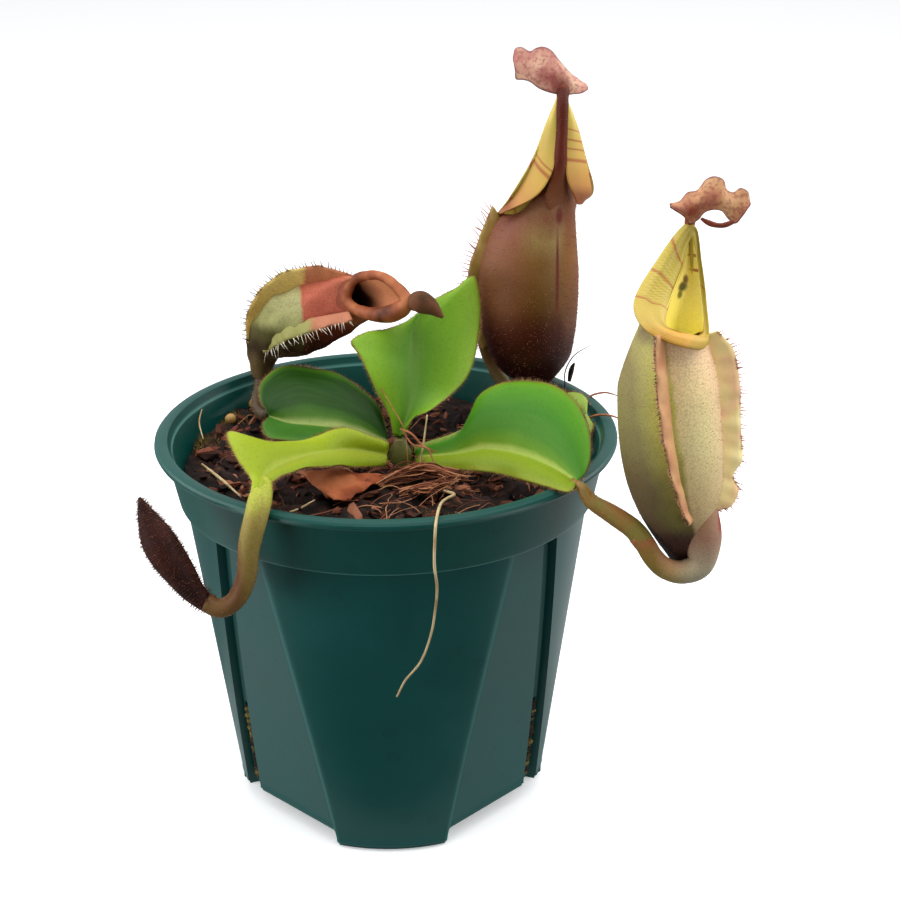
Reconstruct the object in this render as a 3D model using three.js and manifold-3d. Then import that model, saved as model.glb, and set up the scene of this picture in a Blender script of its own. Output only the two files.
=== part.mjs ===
// A potted pitcher plant: a slit grower's pot filled with bark mix, a short stem with five broad
// notched leaves, and the tendrils that carry two open pitchers, an old withered one and a bud.
// Millimetres, +Z up, origin at the middle of the pot's underside, front of the pot towards -Y.
import * as THREE from 'three';
import Module from 'manifold-3d';

const wasm = await Module();
wasm.setup();

// Pot
const POT_HEIGHT = 102.4;
const LIP_RADIUS = 60;
const LIP_HEIGHT = 2;
const LIP_WIDTH = 3.6;
const COLLAR_FOOT = 86.2;
const COLLAR_TOP_RADIUS = 57.2;
const COLLAR_FOOT_RADIUS = 54.3;
const BODY_TOP_RADIUS = 52.8;
const FOOT_RADIUS = 41;
const POT_WALL = 1.8;
const FLOOR_UNDERSIDE = 4.8;
const FLOOR_TOP = 6.4;
const BOSS_RADIUS = 22;
const FOOT_WIDTH = 2.2;
const CORNER_ANGLE_FOOT = 20;
const FOOT_HALF_ANGLE = 19.4;
const CORNER_ANGLE_TOP = 36.5;
const GROOVE_WIDTH = 5;
const GROOVE_DEPTH = 2.2;
const SLIT_WIDTH = 2.6;
const SLIT_TOP = 33;
const POT_SIDES = 48;

// Plant
const GAP = 0.3;
const CUP_CLEARANCE = 0.5;
const SMALLEST_DETAIL = 0.02;
const SOIL_LEVEL = 91.5;
const SOIL_RADIUS = 52.7;
const STEM_AT = [3.5, 0];
const STEM_RADIUS = 3.2;
const STEM_TOP = 99;
const STEM_BOTTOM = 80;
const LEAF_THICKNESS = 1;
const RIB_THICKNESS = 1.9;
const CUP_WALL = 0.9;
const COLLAR_THICKNESS = 0.8;
const WING_THICKNESS = 0.8;
const SPINE_RADIUS = 0.45;

let seed = 20;
function random() {
  seed = (seed * 1103515245 + 12345) % 2147483648;
  return seed / 2147483648;
}

const place = ([x, y, z]) => new THREE.Vector3(x, y, z);

function route(points, closed = false) {
  return new THREE.CatmullRomCurve3(points.map(place), closed, 'centripetal');
}

// Value at u (0 to 1) of an evenly spaced list, with straight runs between its entries.
function along(values, u) {
  const at = Math.min(Math.max(u, 0), 1) * (values.length - 1);
  const index = Math.min(Math.floor(at), values.length - 2);
  return THREE.MathUtils.lerp(values[index], values[index + 1], at - index);
}

function signedVolume(positions, indices) {
  const corner = (i) => new THREE.Vector3().fromArray(positions, indices[i] * 3);
  let volume = 0;
  for (let i = 0; i < indices.length; i += 3) {
    volume += corner(i).dot(corner(i + 1).cross(corner(i + 2))) / 6;
  }
  return volume;
}

function solidOf(positions, indices) {
  const flip = signedVolume(positions, indices) < 0;
  const triangles = flip ? indices.slice().reverse() : indices;
  return new wasm.Manifold(new wasm.Mesh({
    numProp: 3,
    vertProperties: new Float32Array(positions),
    triVerts: new Uint32Array(triangles),
  }));
}

// Closed body through a row of rings with equal point counts, with a fan over each end.
// From the ring index mirrorFrom on, the quads are split along their other diagonal.
function skin(rings, mirrorFrom = Infinity) {
  const sides = rings[0].length;
  const positions = rings.flat().flatMap((p) => [p.x, p.y, p.z]);
  const indices = [];
  for (let i = 0; i + 1 < rings.length; i += 1) {
    for (let j = 0; j < sides; j += 1) {
      const a = i * sides + j;
      const b = i * sides + ((j + 1) % sides);
      if (j < mirrorFrom) {
        indices.push(a, b, b + sides, a, b + sides, a + sides);
      } else {
        indices.push(a, b, a + sides, b, b + sides, a + sides);
      }
    }
  }
  for (const end of [0, rings.length - 1]) {
    const middle = new THREE.Vector3();
    rings[end].forEach((p) => middle.addScaledVector(p, 1 / sides));
    const hub = positions.length / 3;
    positions.push(middle.x, middle.y, middle.z);
    for (let j = 0; j < sides; j += 1) {
      const a = end * sides + j;
      const b = end * sides + ((j + 1) % sides);
      indices.push(...(end === 0 ? [hub, b, a] : [hub, a, b]));
    }
  }
  return solidOf(positions, indices);
}

// Closed body of a row of rings whose last ring joins the first again.
function hoop(rings) {
  const sides = rings[0].length;
  const positions = rings.flat().flatMap((p) => [p.x, p.y, p.z]);
  const indices = [];
  rings.forEach((ring, i) => {
    const next = ((i + 1) % rings.length) * sides;
    for (let j = 0; j < sides; j += 1) {
      const k = (j + 1) % sides;
      indices.push(i * sides + j, i * sides + k, next + k, i * sides + j, next + k, next + j);
    }
  });
  return solidOf(positions, indices);
}

function fuse(solids) {
  return solids.reduce((joined, next) => joined.add(next));
}

// The body left when others are cut away, without the scraps that a cut leaves.
function trimmed(solid, cutters) {
  const cut = cutters.reduce((left, cutter) => left.subtract(cutter), solid);
  const bodies = cut.decompose();
  const largest = bodies.reduce((best, body) => (body.volume() > best.volume() ? body : best));
  return largest.simplify(SMALLEST_DETAIL);
}

// Round stalk along a curve. grow fattens and lengthens it, to cut its own place in a neighbour.
function stalk(points, radii, { sides = 6, steps = 12, grow = 0 } = {}) {
  const curve = route(points);
  const frames = curve.computeFrenetFrames(steps, false);
  const ringAt = (u, index, shift) => {
    const centre = curve.getPointAt(u).addScaledVector(frames.tangents[index], shift);
    const radius = along(radii, u) + grow;
    return Array.from({ length: sides }, (_, k) => {
      const angle = (k * 2 * Math.PI) / sides;
      return centre.clone()
        .addScaledVector(frames.normals[index], radius * Math.cos(angle))
        .addScaledVector(frames.binormals[index], radius * Math.sin(angle));
    });
  };
  const rings = [];
  for (let i = 0; i <= steps; i += 1) {
    const shift = i === 0 ? -grow : i === steps ? grow : 0;
    rings.push(ringAt(i / steps, i, shift));
  }
  return skin(rings);
}

// Slender cone, for spines and bristles.
function spine(root, direction, length, radius = SPINE_RADIUS, sides = 3) {
  const side = new THREE.Vector3(0.31, 0.52, 0.79).cross(direction).normalize();
  const other = direction.clone().cross(side).normalize();
  const ring = (at, size) => Array.from({ length: sides }, (_, k) => {
    const angle = (k * 2 * Math.PI) / sides;
    return root.clone().addScaledVector(direction, at)
      .addScaledVector(side, size * Math.cos(angle))
      .addScaledVector(other, size * Math.sin(angle));
  });
  return skin([ring(0, radius), ring(length, radius * 0.25)]);
}

// Slab of even thickness on a grid of points, a little thicker along the middle column.
function slab(grid, thickness, ribThickness = thickness) {
  const rows = grid.length;
  const columns = grid[0].length;
  const middle = (columns - 1) / 2;
  const rings = grid.map((row, i) => {
    const before = grid[Math.max(i - 1, 0)];
    const after = grid[Math.min(i + 1, rows - 1)];
    const top = [];
    const bottom = [];
    row.forEach((point, j) => {
      const lengthwise = after[j].clone().sub(before[j]);
      const across = row[Math.min(j + 1, columns - 1)].clone().sub(row[Math.max(j - 1, 0)]);
      const normal = across.cross(lengthwise).normalize();
      const under = j === middle ? ribThickness - thickness / 2 : thickness / 2;
      top.push(point.clone().addScaledVector(normal, thickness / 2));
      bottom.unshift(point.clone().addScaledVector(normal, -under));
    });
    return [...top, ...bottom];
  });
  return skin(rings, columns);
}

// Leaf blade between a midrib and two edges that meet again in the notch at its far end.
function leaf({ midrib, left, right, arch = 0.08, stations = 11, start = 0.01, end = 0.97 }) {
  const across = 3;
  const lines = [route(left), route(midrib), route(right)];
  const grid = [];
  for (let i = 0; i <= stations; i += 1) {
    const u = THREE.MathUtils.lerp(start, end, i / stations);
    const [leftPoint, middle, rightPoint] = lines.map((line) => line.getPointAt(u));
    const heading = lines[1].getTangentAt(u);
    const up = rightPoint.clone().sub(leftPoint).cross(heading).normalize();
    const row = [];
    for (let j = -across; j <= across; j += 1) {
      const share = Math.abs(j) / across;
      const edge = j < 0 ? leftPoint : rightPoint;
      const bulge = arch * middle.distanceTo(edge) * Math.sin(Math.PI * share);
      row.push(middle.clone().lerp(edge, share).addScaledVector(up, bulge));
    }
    grid.push(row);
  }
  return slab(grid, LEAF_THICKNESS, RIB_THICKNESS);
}

// Points of a closed mouth line: its entries lie at equal turns, from the front of the pitcher.
function mouthPoints(mouth, count) {
  const curve = route(mouth, true);
  return Array.from({ length: count }, (_, k) => curve.getPoint(k / count));
}

function centreOf(points) {
  const centre = new THREE.Vector3();
  points.forEach((p) => centre.addScaledVector(p, 1 / points.length));
  return centre;
}

// Pitcher wall from its closed bottom up to a slanted mouth, hollow above the level cavityFrom.
function cup({ axis, radii, front, mouth, cavityFrom, blendFrom, sides = 14, steps = 7 }, grow = 0) {
  const curve = route(axis);
  const ahead = place(front);
  const rim = mouthPoints(mouth, sides);
  const rimCentre = centreOf(rim);
  const wall = (u, inset) => {
    const tangent = curve.getTangentAt(u);
    const forward = ahead.clone().addScaledVector(tangent, -ahead.dot(tangent)).normalize();
    const sideways = tangent.clone().cross(forward);
    const centre = curve.getPointAt(u);
    const radius = along(radii, u) - inset;
    const blend = THREE.MathUtils.smoothstep(u, blendFrom, 1);
    return Array.from({ length: sides }, (_, k) => {
      const angle = (k * 2 * Math.PI) / sides;
      const round = centre.clone()
        .addScaledVector(forward, radius * Math.cos(angle))
        .addScaledVector(sideways, radius * Math.sin(angle));
      const inward = rimCentre.clone().sub(rim[k]).normalize();
      const edge = rim[k].clone().addScaledVector(inward, inset);
      return round.lerp(edge, blend);
    });
  };
  const outer = [];
  for (let i = 0; i <= steps; i += 1) {
    outer.push(wall(i / steps, -grow));
  }
  const inner = [];
  for (let i = 0; i <= steps - 2; i += 1) {
    inner.push(wall(THREE.MathUtils.lerp(1, cavityFrom, i / (steps - 2)), CUP_WALL + grow));
  }
  return skin([...outer, ...inner]);
}

// Rolled collar over a pitcher's mouth line, from an inner edge inside the mouth to a flared outer
// edge. The three lines turn together, and grow thickens the collar to cut its own place.
function collar({ mouth, outer, inner, facing, sides = 20 }, grow = 0) {
  const [rim, outside, inside] = [mouth, outer, inner].map((line) => mouthPoints(line, sides));
  const opening = place(facing);
  const rings = rim.map((point, k) => {
    const heading = rim[(k + 1) % sides].clone().sub(rim[(k + sides - 1) % sides]).normalize();
    const chord = outside[k].clone().sub(inside[k]);
    const up = heading.clone().cross(chord).normalize();
    if (up.dot(opening) < 0) {
      up.negate();
    }
    const crest = point.clone().addScaledVector(up, GAP + COLLAR_THICKNESS);
    const halfway = (a, b, lift) => a.clone().lerp(b, 0.5).addScaledVector(up, lift);
    const upper = [inside[k], halfway(inside[k], crest, 0.5), crest, halfway(crest, outside[k], 0.8), outside[k]];
    const across = chord.normalize();
    const top = upper.map((p) => p.clone().addScaledVector(up, grow));
    const bottom = upper.map((p) => p.clone().addScaledVector(up, -COLLAR_THICKNESS - grow)).reverse();
    top[0].addScaledVector(across, -grow);
    top[4].addScaledVector(across, grow);
    bottom[0].addScaledVector(across, grow);
    bottom[4].addScaledVector(across, -grow);
    return [...top, ...bottom];
  });
  return hoop(rings);
}

// Dried mouth edge, rolled up into a tube whose radii are listed at equal turns of the mouth.
function rolledEdge(mouth, radii, grow = 0) {
  const sides = 16;
  const around = 6;
  const rim = mouthPoints(mouth, sides);
  const centre = centreOf(rim);
  const rings = rim.map((point, k) => {
    const heading = rim[(k + 1) % sides].clone().sub(rim[(k + sides - 1) % sides]).normalize();
    const spread = point.clone().sub(centre);
    const out = spread.addScaledVector(heading, -spread.dot(heading)).normalize();
    const up = out.clone().cross(heading);
    const radius = along([...radii, radii[0]], k / sides) + grow;
    return Array.from({ length: around }, (_, i) => {
      const angle = ((i + 0.5) * 2 * Math.PI) / around;
      return point.clone()
        .addScaledVector(out, radius * Math.cos(angle))
        .addScaledVector(up, radius * Math.sin(angle));
    });
  });
  return hoop(rings);
}

// Thin wing with a spiny edge, between a line on the pitcher and the line of its outer edge.
function wing({ root, edge, spines, spineLength, steps = 6 }) {
  const rootLine = route(root);
  const edgeLine = route(edge);
  const grid = [];
  for (let i = 0; i <= steps; i += 1) {
    const inner = rootLine.getPointAt(i / steps);
    const outer = edgeLine.getPointAt(i / steps);
    grid.push([inner, inner.clone().lerp(outer, 0.5), outer]);
  }
  const solids = [slab(grid, WING_THICKNESS)];
  for (let i = 0; i < spines; i += 1) {
    const u = (i + 0.5) / spines;
    const outer = edgeLine.getPointAt(u);
    const direction = outer.clone().sub(rootLine.getPointAt(u)).normalize();
    direction.x += (random() - 0.5) * 0.3;
    direction.z += (random() - 0.5) * 0.3;
    direction.normalize();
    const length = spineLength * (0.7 + 0.5 * random());
    solids.push(spine(outer.addScaledVector(direction, -0.7), direction, length + 0.7));
  }
  return fuse(solids);
}

// Wavy lid: a slab on an oval outline, from its hinge end along its length.
function lid({ line, upper, lower, side, wave = 0.5, steps = 9, thickness = 0.9 }) {
  const curve = route(line);
  const across = place(side).normalize();
  const grid = [];
  for (let i = 0; i <= steps; i += 1) {
    const u = i / steps;
    const middle = curve.getPointAt(u);
    const heading = curve.getTangentAt(u);
    const up = across.clone().cross(heading).normalize();
    const row = [];
    for (let j = -2; j <= 2; j += 1) {
      const reach = along(j < 0 ? lower : upper, u) * (j / 2);
      const ripple = wave * Math.abs(j / 2) * Math.sin(u * 9 + j);
      row.push(middle.clone().addScaledVector(across, reach).addScaledVector(up, ripple));
    }
    grid.push(row);
  }
  return slab(grid, thickness);
}

function circle(radius, height) {
  return Array.from({ length: POT_SIDES }, (_, k) => {
    const angle = (k * 2 * Math.PI) / POT_SIDES;
    return new THREE.Vector3(radius * Math.sin(angle), -radius * Math.cos(angle), height);
  });
}

// Groove beside the side panels, as three points of the plan at one level of the pot.
function groovePoints(facetStart, corner) {
  const chord = corner.clone().sub(facetStart).normalize();
  const inward = new THREE.Vector3(-1, 1, 0).normalize();
  const at = (back, deep) => corner.clone()
    .addScaledVector(chord, -back)
    .addScaledVector(inward, deep);
  return [at(GROOVE_WIDTH, 0), at(GROOVE_WIDTH * 0.75, GROOVE_DEPTH), at(GROOVE_WIDTH * 0.2, GROOVE_DEPTH)];
}

// Plan of the pot's body at one level: round panels at the front, back and sides, and a flat
// facet between them that ends in a groove.
function bodyRing(level, height, inset = 0) {
  const radius = THREE.MathUtils.lerp(FOOT_RADIUS, BODY_TOP_RADIUS, level / COLLAR_FOOT);
  const corner = THREE.MathUtils.lerp(CORNER_ANGLE_FOOT, CORNER_ANGLE_TOP, level / COLLAR_FOOT);
  const at = (degrees) => {
    const angle = THREE.MathUtils.degToRad(degrees);
    return new THREE.Vector3(radius * Math.sin(angle), -radius * Math.cos(angle), 0);
  };
  const steps = [0, 0.25, 0.5, 0.75, 1];
  const front = steps.map((share) => at(corner * share));
  const side = steps.map((share) => at(90 - corner * (1 - share)));
  const quarter = [...front, ...groovePoints(front[4], side[0]), ...side];
  const mirror = (points, x, y) => points.map((p) => new THREE.Vector3(p.x * x, p.y * y, 0));
  const plan = [
    ...quarter,
    ...mirror(quarter, 1, -1).reverse().slice(1),
    ...mirror(quarter, -1, -1).slice(1),
    ...mirror(quarter, -1, 1).reverse().slice(1, -1),
  ];
  return plan.map((p) => {
    const scale = 1 - inset / Math.hypot(p.x, p.y);
    return new THREE.Vector3(p.x * scale, p.y * scale, height);
  });
}

function prism(lower, upper) {
  return skin([lower, upper]);
}

function pot() {
  const ledge = COLLAR_FOOT + POT_WALL;
  const shell = skin([
    bodyRing(0, 0),
    bodyRing(COLLAR_FOOT, COLLAR_FOOT),
    circle(COLLAR_FOOT_RADIUS, COLLAR_FOOT),
    circle(COLLAR_TOP_RADIUS, POT_HEIGHT - LIP_HEIGHT),
    circle(LIP_RADIUS, POT_HEIGHT - LIP_HEIGHT),
    circle(LIP_RADIUS, POT_HEIGHT - 0.4),
    circle(LIP_RADIUS - 0.4, POT_HEIGHT),
    circle(LIP_RADIUS - LIP_WIDTH, POT_HEIGHT),
    circle(COLLAR_TOP_RADIUS - POT_WALL, POT_HEIGHT - LIP_HEIGHT),
    circle(COLLAR_FOOT_RADIUS - POT_WALL, ledge),
    bodyRing(COLLAR_FOOT, ledge, POT_WALL),
    bodyRing(0, FLOOR_TOP, POT_WALL),
  ]);
  const cutters = [];
  const underside = prism(bodyRing(0, -1, FOOT_WIDTH), bodyRing(0, FLOOR_UNDERSIDE, FOOT_WIDTH));
  cutters.push(underside.subtract(prism(circle(BOSS_RADIUS, -2), circle(BOSS_RADIUS, FLOOR_TOP))));
  const corners = [[1, 1], [1, -1], [-1, -1], [-1, 1]];
  for (const [x, y] of corners) {
    const plan = (degrees, radius, height) => {
      const angle = THREE.MathUtils.degToRad(degrees);
      return new THREE.Vector3(x * radius * Math.sin(angle), -y * radius * Math.cos(angle), height);
    };
    const wedge = (height) => [
      plan(FOOT_HALF_ANGLE, BOSS_RADIUS + 2, height),
      plan(FOOT_HALF_ANGLE, LIP_RADIUS, height),
      plan(90 - FOOT_HALF_ANGLE, LIP_RADIUS, height),
      plan(90 - FOOT_HALF_ANGLE, BOSS_RADIUS + 2, height),
    ];
    cutters.push(prism(wedge(-1), wedge(FLOOR_UNDERSIDE)));
    const slit = (level, height) => {
      const ring = bodyRing(level, height);
      const middle = ring[6].clone().add(ring[7]).multiplyScalar(0.5);
      const chord = ring[7].clone().sub(ring[6]).normalize();
      const inward = new THREE.Vector3(-1, 1, 0).normalize();
      const corner = (sideways, deep) => {
        const p = middle.clone().addScaledVector(chord, sideways).addScaledVector(inward, deep);
        return new THREE.Vector3(p.x * x, p.y * y, height);
      };
      const half = SLIT_WIDTH / 2;
      return [corner(-half, -6), corner(half, -6), corner(half, 5), corner(-half, 5)];
    };
    cutters.push(prism(slit(0, -1), slit(SLIT_TOP, SLIT_TOP)));
  }
  return trimmed(shell, cutters);
}

// Height of the potting mix: a mound at the back left, with lumps of bark all over.
function soilHeight(x, y) {
  const mound = (mx, my, spread, height) => {
    return height * Math.exp(-((x - mx) ** 2 + (y - my) ** 2) / (2 * spread ** 2));
  };
  const lumps = 0.9 * Math.sin(0.33 * x + 1.3) * Math.cos(0.29 * y + 0.4)
    + 0.6 * Math.sin(0.61 * x - 0.47 * y) + 0.4 * Math.cos(0.9 * x + 0.7 * y);
  return SOIL_LEVEL + mound(-38, 30, 15, 4.5) + mound(-46, -8, 14, 2) + mound(46, 24, 14, 1.5) + lumps;
}

function pottingMix(cutters) {
  const inset = POT_WALL + 2 * GAP;
  const shoulder = COLLAR_FOOT + POT_WALL + GAP;
  const rings = [
    bodyRing(0, FLOOR_TOP + GAP, inset),
    bodyRing(COLLAR_FOOT, shoulder, inset),
    circle(COLLAR_FOOT_RADIUS - inset, shoulder),
  ];
  for (const radius of [SOIL_RADIUS, 46, 38, 29, 18, 6]) {
    rings.push(circle(radius, 0).map((p) => new THREE.Vector3(p.x, p.y, soilHeight(p.x, p.y))));
  }
  return trimmed(skin(rings), cutters);
}

function stem(grow = 0) {
  const [x, y] = STEM_AT;
  const points = [[x, y, STEM_BOTTOM], [x, y, 88], [x, y, 94], [x, y, STEM_TOP]];
  return stalk(points, [2.4, STEM_RADIUS, STEM_RADIUS, STEM_RADIUS], { sides: 10, steps: 4, grow });
}

const group = new THREE.Group();
function piece(name, solid, color, roughness = 0.6) {
  const { vertProperties, triVerts } = solid.getMesh();
  const geometry = new THREE.BufferGeometry();
  geometry.setAttribute('position', new THREE.BufferAttribute(new Float32Array(vertProperties), 3));
  geometry.setIndex(new THREE.BufferAttribute(new Uint32Array(triVerts), 1));
  const material = new THREE.MeshStandardMaterial({ color, roughness, metalness: 0 });
  const mesh = new THREE.Mesh(geometry, material);
  mesh.name = name;
  group.add(mesh);
}

// Routes of the leaves, from the stem to the notch where the tendril leaves: the midrib and the
// edges on its left and right.
const LEAVES = {
  leaf_left_back: {
    midrib: [[0.2, 0.5, 98.5], [-9.6, 4, 100.4], [-18.4, 7, 100.6], [-25.6, 9, 100.6], [-31.2, 10.5, 102]],
    left: [[0.2, -0.8, 98], [-12, -2.5, 101.2], [-22, -5, 101], [-30, -3.5, 101.2], [-32.6, 4, 101.8],
      [-31.4, 9.5, 102]],
    right: [[0.4, 2, 99.5], [-2.7, 8, 106.5], [-14.3, 20, 110.5], [-27, 26, 110.4], [-33.6, 19, 108.4],
      [-33.6, 13.5, 105.5], [-31.4, 11, 102.8]],
  },
  leaf_front_left: {
    midrib: [[0.2, -2.2, 95.8], [-9.3, -10, 100.5], [-18.8, -24, 105.1], [-25.3, -37, 108], [-29.5, -45.5, 108.2]],
    left: [[0, -4.4, 93.6], [-7.5, -14, 97.4], [-13.2, -23, 101.5], [-18.6, -33, 105.4], [-24.5, -43.4, 107.4],
      [-28.4, -46.2, 107.9]],
    right: [[0.8, -0.8, 98.6], [-4.2, -4, 101.8], [-11.6, -8, 106], [-22.1, -16, 105.3], [-30.3, -26, 110.1],
      [-38, -36, 115.9], [-35.5, -41, 112.4], [-30.4, -45.4, 108.8]],
  },
  leaf_upright: {
    midrib: [[3.2, 0, 99.6], [4.9, 2.5, 103.6], [7.1, 7, 110.2], [7.7, 11, 117.1], [7.6, 15, 122.9], [9, 18, 128.4]],
    left: [[1.8, 0, 100.2], [0.8, 0.5, 105.3], [-3.3, 2, 113.6], [-6.8, 5, 121.1], [-8.9, 8, 123.4],
      [-5.3, 11, 124.8], [1, 14, 125], [6, 16.5, 126.2], [8.4, 17.8, 127.8]],
    right: [[4.8, 0, 100], [7.2, -0.5, 105.4], [10.6, 1, 106.3], [20.9, 12, 111.2], [25.1, 19, 122.2],
      [25, 23, 131.2], [23.4, 24, 136.1], [19.1, 22, 133.5], [13, 19.5, 131], [9.8, 18.4, 128.9]],
  },
  leaf_right: {
    midrib: [[7.1, -0.8, 94.5], [15.9, -5, 96.9], [25.9, -14, 102.2], [34.6, -25, 105], [41, -35, 105.6],
      [46.4, -43.6, 104.9]],
    left: [[7.2, 0.4, 96], [18.9, -1, 101.4], [24.5, -4, 112.8], [33.3, -10, 119], [43.7, -20, 120.2],
      [49, -31, 116.5], [49.4, -40, 109.6], [47.2, -43.6, 105.6]],
    right: [[7, -2, 93.5], [16.5, -9.5, 94.6], [27.1, -22, 98.6], [38.7, -40, 102.6], [44, -46.6, 104],
      [45.8, -45.4, 104.5]],
  },
  leaf_right_back: {
    midrib: [[7, 1.6, 95.5], [20, 5, 97], [34, 8, 98.5], [46, 8.5, 100.5], [53, 8, 102.5]],
    left: [[6.8, 2.4, 96], [20, 9, 98], [34, 14, 101.5], [46, 14.5, 106], [52, 12, 106.5], [54, 9.5, 104.5]],
    right: [[7, 0.8, 95], [20, 0.5, 96], [34, 1, 97], [46, 1, 97.5], [53.5, 3, 98.6], [55, 6, 101.2]],
  },
};

const TENDRILS = {
  tendril_old: {
    points: [[-31.9, 11, 102], [-34.4, 18, 100.6], [-35.4, 28, 100], [-35.2, 35, 100.2], [-34.9, 39.2, 101.4]],
    radii: [1.4, 1.5, 1.6, 1.8, 2],
  },
  tendril_bud: {
    points: [[-29.7, -47.2, 108], [-28.7, -50, 107.2], [-29.9, -55, 103.4], [-31.9, -56.6, 96],
      [-33.2, -56.6, 86.7], [-36.2, -56.4, 81.2], [-39.9, -56, 79.2], [-42.8, -55, 80.4]],
    radii: [2, 2.4, 2.5, 2.4, 2.3, 2.3, 2.3],
  },
  tendril_centre: {
    points: [[9.3, 18.6, 129], [12.5, 23, 128.4], [19, 31, 125.5], [25.5, 39.5, 116], [28.5, 41, 106.4],
      [33, 37, 100], [38.5, 31, 99], [40.5, 27.4, 101.7]],
    radii: [1.3, 1.6, 1.7, 1.7, 1.8, 2],
  },
  tendril_right: {
    points: [[46.9, -44.1, 104.6], [49, -45.5, 101.4], [54.4, -47.5, 98.3], [59.3, -49.5, 95.2], [61.6, -50.6, 92.4]],
    radii: [1.9, 2.6, 2.5, 2.5, 2.7],
  },
};

const CENTRE_MOUTH = [[35.4, 41, 147.9], [31.1, 32, 150.5], [35.5, 25.5, 152.5], [43, 24, 163],
  [46.9, 25, 180.5], [49.4, 26, 164], [51.3, 35, 151.5], [45, 42.5, 147.8]];
const CENTRE_CUP = {
  axis: [[40.6, 27, 102.4], [40.4, 27.6, 105.5], [39.8, 28.6, 111], [38.9, 29.6, 120], [38.5, 30, 132],
    [39, 30, 143], [40.4, 30, 151]],
  radii: [2, 9.4, 12, 13.1, 13.5, 13.3, 12.2, 10.3],
  front: [-0.606, 0.795, 0],
  mouth: CENTRE_MOUTH,
  cavityFrom: 0.22,
  blendFrom: 0.7,
};
const CENTRE_WINGS = [
  {
    root: [[30.8, 31.5, 149.5], [27.2, 31.5, 142], [25.5, 31.5, 134], [26.1, 31.3, 124], [28.6, 31, 114]],
    edge: [[29.2, 31.8, 152.4], [25.6, 31.8, 143], [22.2, 31.8, 133.5], [22.8, 31.5, 122], [26.6, 31.2, 113]],
    spines: 14,
    spineLength: 2.6,
  },
  {
    root: [[44.3, 42, 148], [40.6, 43, 140], [40.3, 43, 130], [41, 41.8, 118], [41.4, 38.5, 110]],
    edge: [[45, 45, 151], [41, 47.6, 141], [40.6, 47.8, 130], [41.2, 46, 117], [41.6, 41, 108]],
    spines: 14,
    spineLength: 2.6,
  },
];

const RIGHT_MOUTH = [[69.3, -55, 145.7], [73.8, -49, 143.8], [74, -41.5, 149.6], [72.8, -39.6, 158.2],
  [71, -39.6, 166.4], [66.4, -43, 159.2], [61.4, -50, 151.5], [63, -55.5, 147.8]];
const RIGHT_CUP = {
  axis: [[72.8, -42.5, 86], [72.9, -42.9, 89.2], [72, -43.5, 94], [70.2, -45, 102.5], [68.8, -46, 110.9],
    [67.6, -46, 122], [67.1, -46, 134], [67.4, -46, 141.8]],
  radii: [1.5, 6, 9.2, 11, 11.7, 11.7, 11.4, 10.8, 9.4],
  front: [0.52, -0.85, 0],
  mouth: RIGHT_MOUTH,
  cavityFrom: 0.42,
  blendFrom: 0.7,
  steps: 8,
};
const RIGHT_CROOK = {
  points: [[61.9, -50.8, 92], [63.9, -51.6, 88.8], [66.6, -52, 86.2], [70.9, -52, 84.9], [74.6, -51.4, 87.2],
    [76.3, -50, 92.4], [75.2, -49, 99], [71.5, -47, 105]],
  radii: [2.6, 2.7, 3, 3.4, 3.7, 4, 4.4, 5],
};
const RIGHT_WINGS = [
  {
    root: [[63.8, -55.3, 146], [64.8, -57.6, 135.9], [66.4, -57.9, 123.5], [68.9, -56.8, 112.1], [72.6, -54, 100]],
    edge: [[61.1, -60, 148], [61.5, -62, 137.5], [63.2, -62.5, 125.3], [66.5, -61, 111.8], [70.8, -58, 100]],
    spines: 16,
    spineLength: 1.5,
  },
  {
    root: [[75.2, -47.6, 142.4], [77.4, -48, 134], [78, -48.3, 126], [78.9, -48.5, 115], [79, -48.5, 101.5]],
    edge: [[77, -48.5, 144.3], [81.4, -48.5, 138], [83, -48.5, 127.5], [84.2, -48.5, 112.5], [83.4, -48.5, 98.8]],
    spines: 18,
    spineLength: 2.2,
  },
];

const OLD_MOUTH = [[-10.3, 23.5, 129.9], [-7.6, 20, 128.3], [-2.1, 14.5, 128.6], [2.9, 10, 130.8],
  [5.8, 8, 134.2], [1.7, 13, 138], [-2.6, 19, 138], [-8.5, 24, 134.8]];
const OLD_CUP = {
  axis: [[-34.8, 39.9, 102.4], [-35, 40, 106.4], [-33.2, 39.2, 112.5], [-27.5, 36.5, 118.5], [-20.6, 33, 122.5],
    [-14.4, 30, 126], [-9.5, 27, 130]],
  radii: [2.4, 4.4, 7.8, 9.3, 9.5, 8.6, 7],
  front: [0, -1, 0],
  mouth: OLD_MOUTH,
  cavityFrom: 0.4,
  blendFrom: 0.72,
};
const OLD_WINGS = [
  {
    root: [[-35, 37.5, 112.5], [-33.2, 36, 119.3], [-30.2, 34.5, 125.2], [-25.9, 32.5, 129.2], [-21.6, 30.8, 131.6],
      [-15, 28, 133.6], [-9, 26, 135]],
    edge: [[-38, 36, 113.5], [-38.4, 34.8, 119.5], [-36.4, 32.8, 126.2], [-32, 31, 132.2], [-27, 29, 136],
      [-18, 27, 138.4], [-7.5, 25, 138.8]],
    spines: 14,
    spineLength: 2.4,
  },
  {
    root: [[-33.3, 35.5, 114.8], [-28, 29.6, 120.6], [-22.9, 26.8, 124], [-16.3, 24, 126.2], [-10.3, 22.4, 128]],
    edge: [[-33, 33.4, 113.2], [-26.3, 26.4, 119.4], [-19.8, 23.4, 122.8], [-14, 20.8, 125.4], [-8.9, 19.2, 127]],
    spines: 16,
    spineLength: 2.8,
  },
];

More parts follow.
